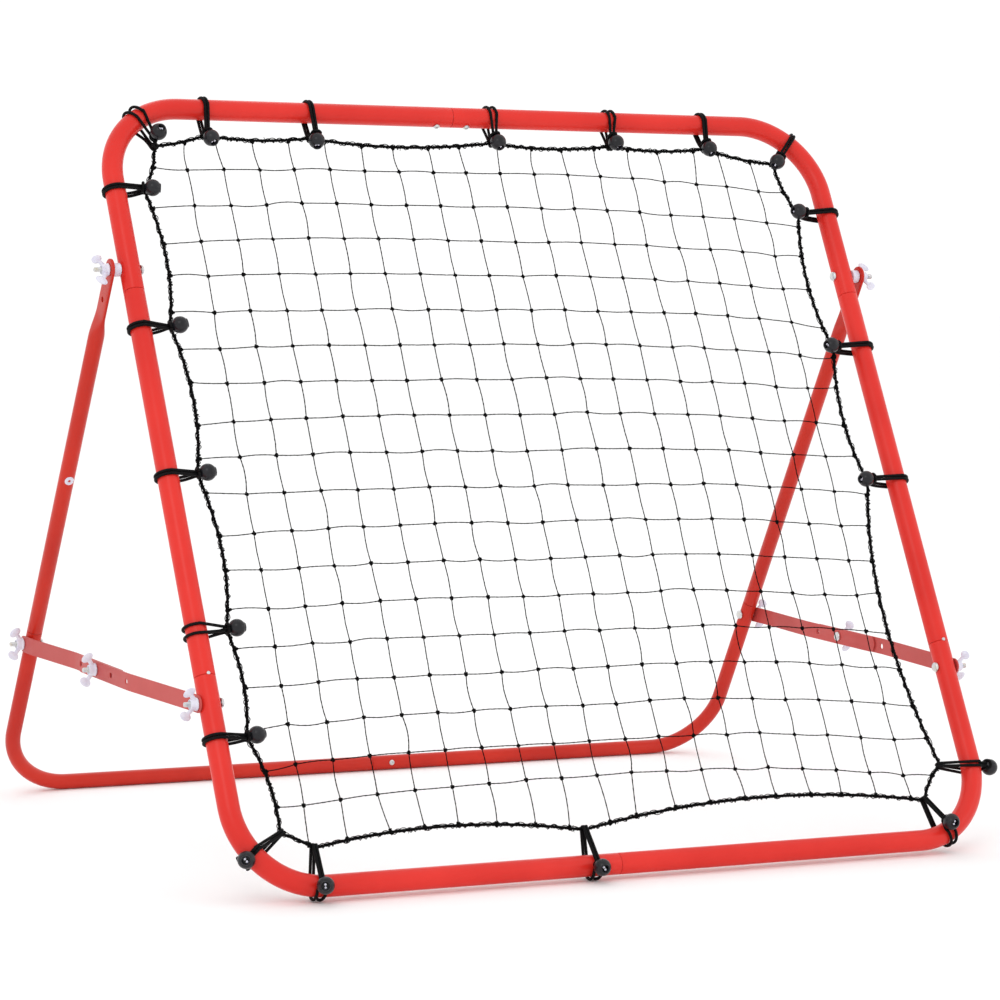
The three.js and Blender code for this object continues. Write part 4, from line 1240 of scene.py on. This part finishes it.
# How far apart, in millimetres, a tie's two strands lie on the tube
SPLAY = {"left_4": 5.5, "top_left_corner": 6, "top_3": 4.2, "top_4": 4, "right_4": 2.6}
NECK = 11.4 * MM  # from a ball's centre to its neck


def arc(radius, start, stop, count, centre, spread=(0.0, 0.0)):
    """Points round the tube or the rope, as (to the net, out, along), in degrees from the net's side."""
    out = []
    for share in np.linspace(0, 1, count):
        angle = math.radians(start + (stop - start) * share)
        out.append(Vector((centre + radius * math.cos(angle), radius * math.sin(angle),
                           spread[0] + (spread[1] - spread[0]) * share)))
    return out


def tie_route(name, ball, facing, reach, k):
    """One strand's path: out of the ball, round the tube and the rope, and hooked over the ball's neck."""
    neck = ball - facing * NECK
    near, wide = k * 1.86 * MM, k * SPLAY.get(name, 1.95) * MM
    slide = Vector((0, 0, ball.z))
    first = [ball - facing * 5 * MM + Vector((0, 0, near * 0.7)), neck + Vector((0, 0, near))]
    if name in BALLS_ON_TUBE:
        loose = ROUND_TUBE + 0.7 * MM
        apart = k * (8 if name == "bottom_left_corner" else 5.5) * MM
        landing = math.degrees(math.atan2(neck.y, neck.x)) % 360
        front = arc(ROUND_TUBE, min(landing - 12, 100), 74, 4, 0, (near, near)) if ball.x < 0 else []
        middle = [p + slide for p in front] + arc(ROUND_ROPE, 80, -80, 7, reach, (near, near))
        under = arc(loose, 280, landing + 24, 11, 0, (near * 1.2, apart))
        middle += [p + slide * share for p, share in zip(under, np.linspace(0, 1, 11))]
    elif name in BALLS_OUTSIDE:
        middle = arc(ROUND_TUBE, 128, 92, 4, 0, (near, wide))
        middle += arc(ROUND_ROPE, 82, -82, 7, reach, (near, near))
        middle += arc(ROUND_TUBE, 276, 205, 7, 0, (wide, wide))
    else:
        middle = [p + slide for p in arc(ROUND_TUBE, 82, 278, 14, 0, (wide, wide))]
        middle += [Vector((reach * 0.6, (-ROUND_TUBE - ROUND_ROPE) / 2, near * 1.1)) + slide * 0.6]
        middle += arc(ROUND_ROPE, -115, 40, 6, reach, (near, near))
        middle += [Vector((reach - 1.4 * MM, 4.4 * MM, near * 1.3))]
    arrival = middle[-1]
    arrival = Vector((arrival.x, arrival.y, ball.z))
    far = neck - arrival
    far = (far - facing * far.dot(facing)).normalized()
    across = facing.cross(far)
    if across.z < 0:
        across = -across
    grip = 5.4 * MM
    hook = [neck - far * grip * 0.62 + across * k * grip * 0.75, neck + across * k * grip,
            neck + (far + across * k) * grip * 0.72, neck + far * grip]
    return first + middle + hook


def make_tie(name, at, inward, reach):
    """One tie: a doubled elastic cord and its ball, on the frame's body."""
    along_tube = Vector((-inward.y, inward.x))
    if name in BALL_PLACES:
        ball = Vector(BALL_PLACES[name]) * MM
    elif name == "top_left_corner":
        ball = Vector((reach - 7 * MM, 14 * MM, 0))
    else:
        ball = Vector((reach + 8.5 * MM, 10 * MM, rng.normal(0, 0.8 * MM)))
    closer, shift = BALL_SHIFTS.get(name, (0, 0))
    ball += Vector((closer, 0, shift)) * MM
    if name in HOLE_FACES:
        x, up, out = HOLE_FACES[name]
        flat = Vector((x, up))
        facing = Vector((flat.dot(inward), out, flat.dot(along_tube))).normalized()
    else:
        facing = Vector((1, rng.uniform(0.0, 0.3), rng.normal(0, 0.12))).normalized()

    def to_row(point):
        spot = at + inward * point.x + along_tube * point.z
        return Vector(from_plane(np.array((spot.x, spot.y, point.y)))[0])

    cords = Builder()
    for k in (-1, 1):
        line = smooth_line([to_row(p) for p in tie_route(name, ball, facing, reach, k)], 7)
        cords.tube(line, CORD_RADIUS, 12)
    add_object(f"tie_cord_{name}", cords.mesh(f"tie_cord_{name}"), "front_frame", BRAID, "tie_ball",
               (f"ball_tie_{name}",))
    centre = to_row(ball)
    turned = along(centre - to_row(ball - facing), centre, rng.uniform(0, 6))
    mesh = BALL_MESH.copy()
    mesh.transform(turned)
    add_object(f"tie_knob_{name}", mesh, "front_frame", BALL, "tie_ball")
    for end, radius, low, high, material, slot in (("sleeve_ends", 1.75, 2.4, 6.4, BRAID, "tie_ball"),
                                                   ("rubber_ends", 1.4, 5.8, 6.9, NYLON, "white_nylon")):
        ends = Builder()
        for k in (-1, 1):
            profile = [(0, low), (radius, low), (radius, high - 0.3), (radius - 0.3, high), (0, high + 0.1)]
            made = revolve(in_mm(profile), 16)
            ends.add(np.concatenate(made.vertices) + np.array((k * 1.8 * MM, 0, 0.3 * k * MM)), made.faces)
        mesh = ends.mesh(f"{end}_{name}")
        mesh.transform(turned)
        add_object(f"tie_{end}_{name}", mesh, "front_frame", material, slot)


for tie_name, (tie_at, tie_inward, tie_reach) in TIES.items():
    make_tie(tie_name, tie_at, tie_inward, tie_reach)


# ---------------------------------------------------------------- small details on the tubes


def locating_button(name, place, direction, body):
    """The sprung button that locks two tubes together at a seam."""
    profile = [(0, -3), (2.2, -3), (2.2, 0.5), (1.9, 1.1), (1.2, 1.5), (0, 1.6)]
    mesh = revolve(in_mm(profile), 32).mesh(name)
    mesh.transform(along(direction, place))
    add_object(name, mesh, body, ZINC, "zinc_steel")


def leg_eyelet(name, place, direction):
    """The white nylon eyelet that lines the hole through a leg."""
    profile = [(1.5, -4), (3.4, -4), (3.4, -0.6), (5.6, -0.6), (5.7, 0), (5.2, 0.9), (4, 1.45), (2.7, 1.3),
               (1.8, 0.6), (1.5, -0.6), (1.5, -4)]
    mesh = revolve(in_mm(profile), 40).mesh(name)
    mesh.transform(along(direction, place))
    add_object(name, mesh, "rear_stand", NYLON, "white_nylon")


for side, sign in SIDES:
    locating_button(f"seam_button_{side}", on_frame(sign * HALF, LOWER_SEAM + 1 * MM, FRAME_RADIUS),
                    OUT_OF_FRAME, "front_frame")
    leg_eyelet(f"leg_eyelet_{side}", on_stand(sign * (HALF + LEG_OFFSET), 467 * MM, -sign * STAND_RADIUS),
               OUT_OF_STAND * -sign)


# ---------------------------------------------------------------- floor and light


def studio():
    """A pale floor, a pale room and three soft lights."""
    work = bmesh.new()
    bmesh.ops.create_grid(work, x_segments=2, y_segments=2, size=12)
    mesh = bpy.data.meshes.new("floor")
    work.to_mesh(mesh)
    work.free()
    floor_object = bpy.data.objects.new("floor", mesh)
    bpy.context.scene.collection.objects.link(floor_object)
    paper = Surface("floor_paper", (0.97, 0.97, 0.97), 0.9)
    paper.color(paper.ramp(paper.noise(2, 3), (0.3, (0.96, 0.96, 0.96)), (0.7, (0.98, 0.98, 0.98))))
    mesh.materials.append(paper.material)
    world = bpy.data.worlds.new("room")
    bpy.context.scene.world = world
    world.use_nodes = True
    world.node_tree.nodes["Background"].inputs["Color"].default_value = (1, 1, 1, 1)
    world.node_tree.nodes["Background"].inputs["Strength"].default_value = 1.06
    bpy.context.scene.view_settings.view_transform = "Standard"
    for name, place, size, energy in (("key", (-2.2, -2.6, 3.2), 1.6, 16),
                                      ("fill", (3.2, -2.4, 1.8), 1.4, 5),
                                      ("rim", (0.6, 2.8, 3.0), 1.6, 6)):
        data = bpy.data.lights.new(name, "AREA")
        data.shape = "SQUARE"
        data.size = size
        data.energy = energy
        light = bpy.data.objects.new(name, data)
        aim = Vector((0, 0, 0.4)) - Vector(place)
        light.matrix_world = Matrix.Translation(place) @ (-aim).to_track_quat("Z", "Y").to_matrix().to_4x4()
        bpy.context.scene.collection.objects.link(light)


studio()
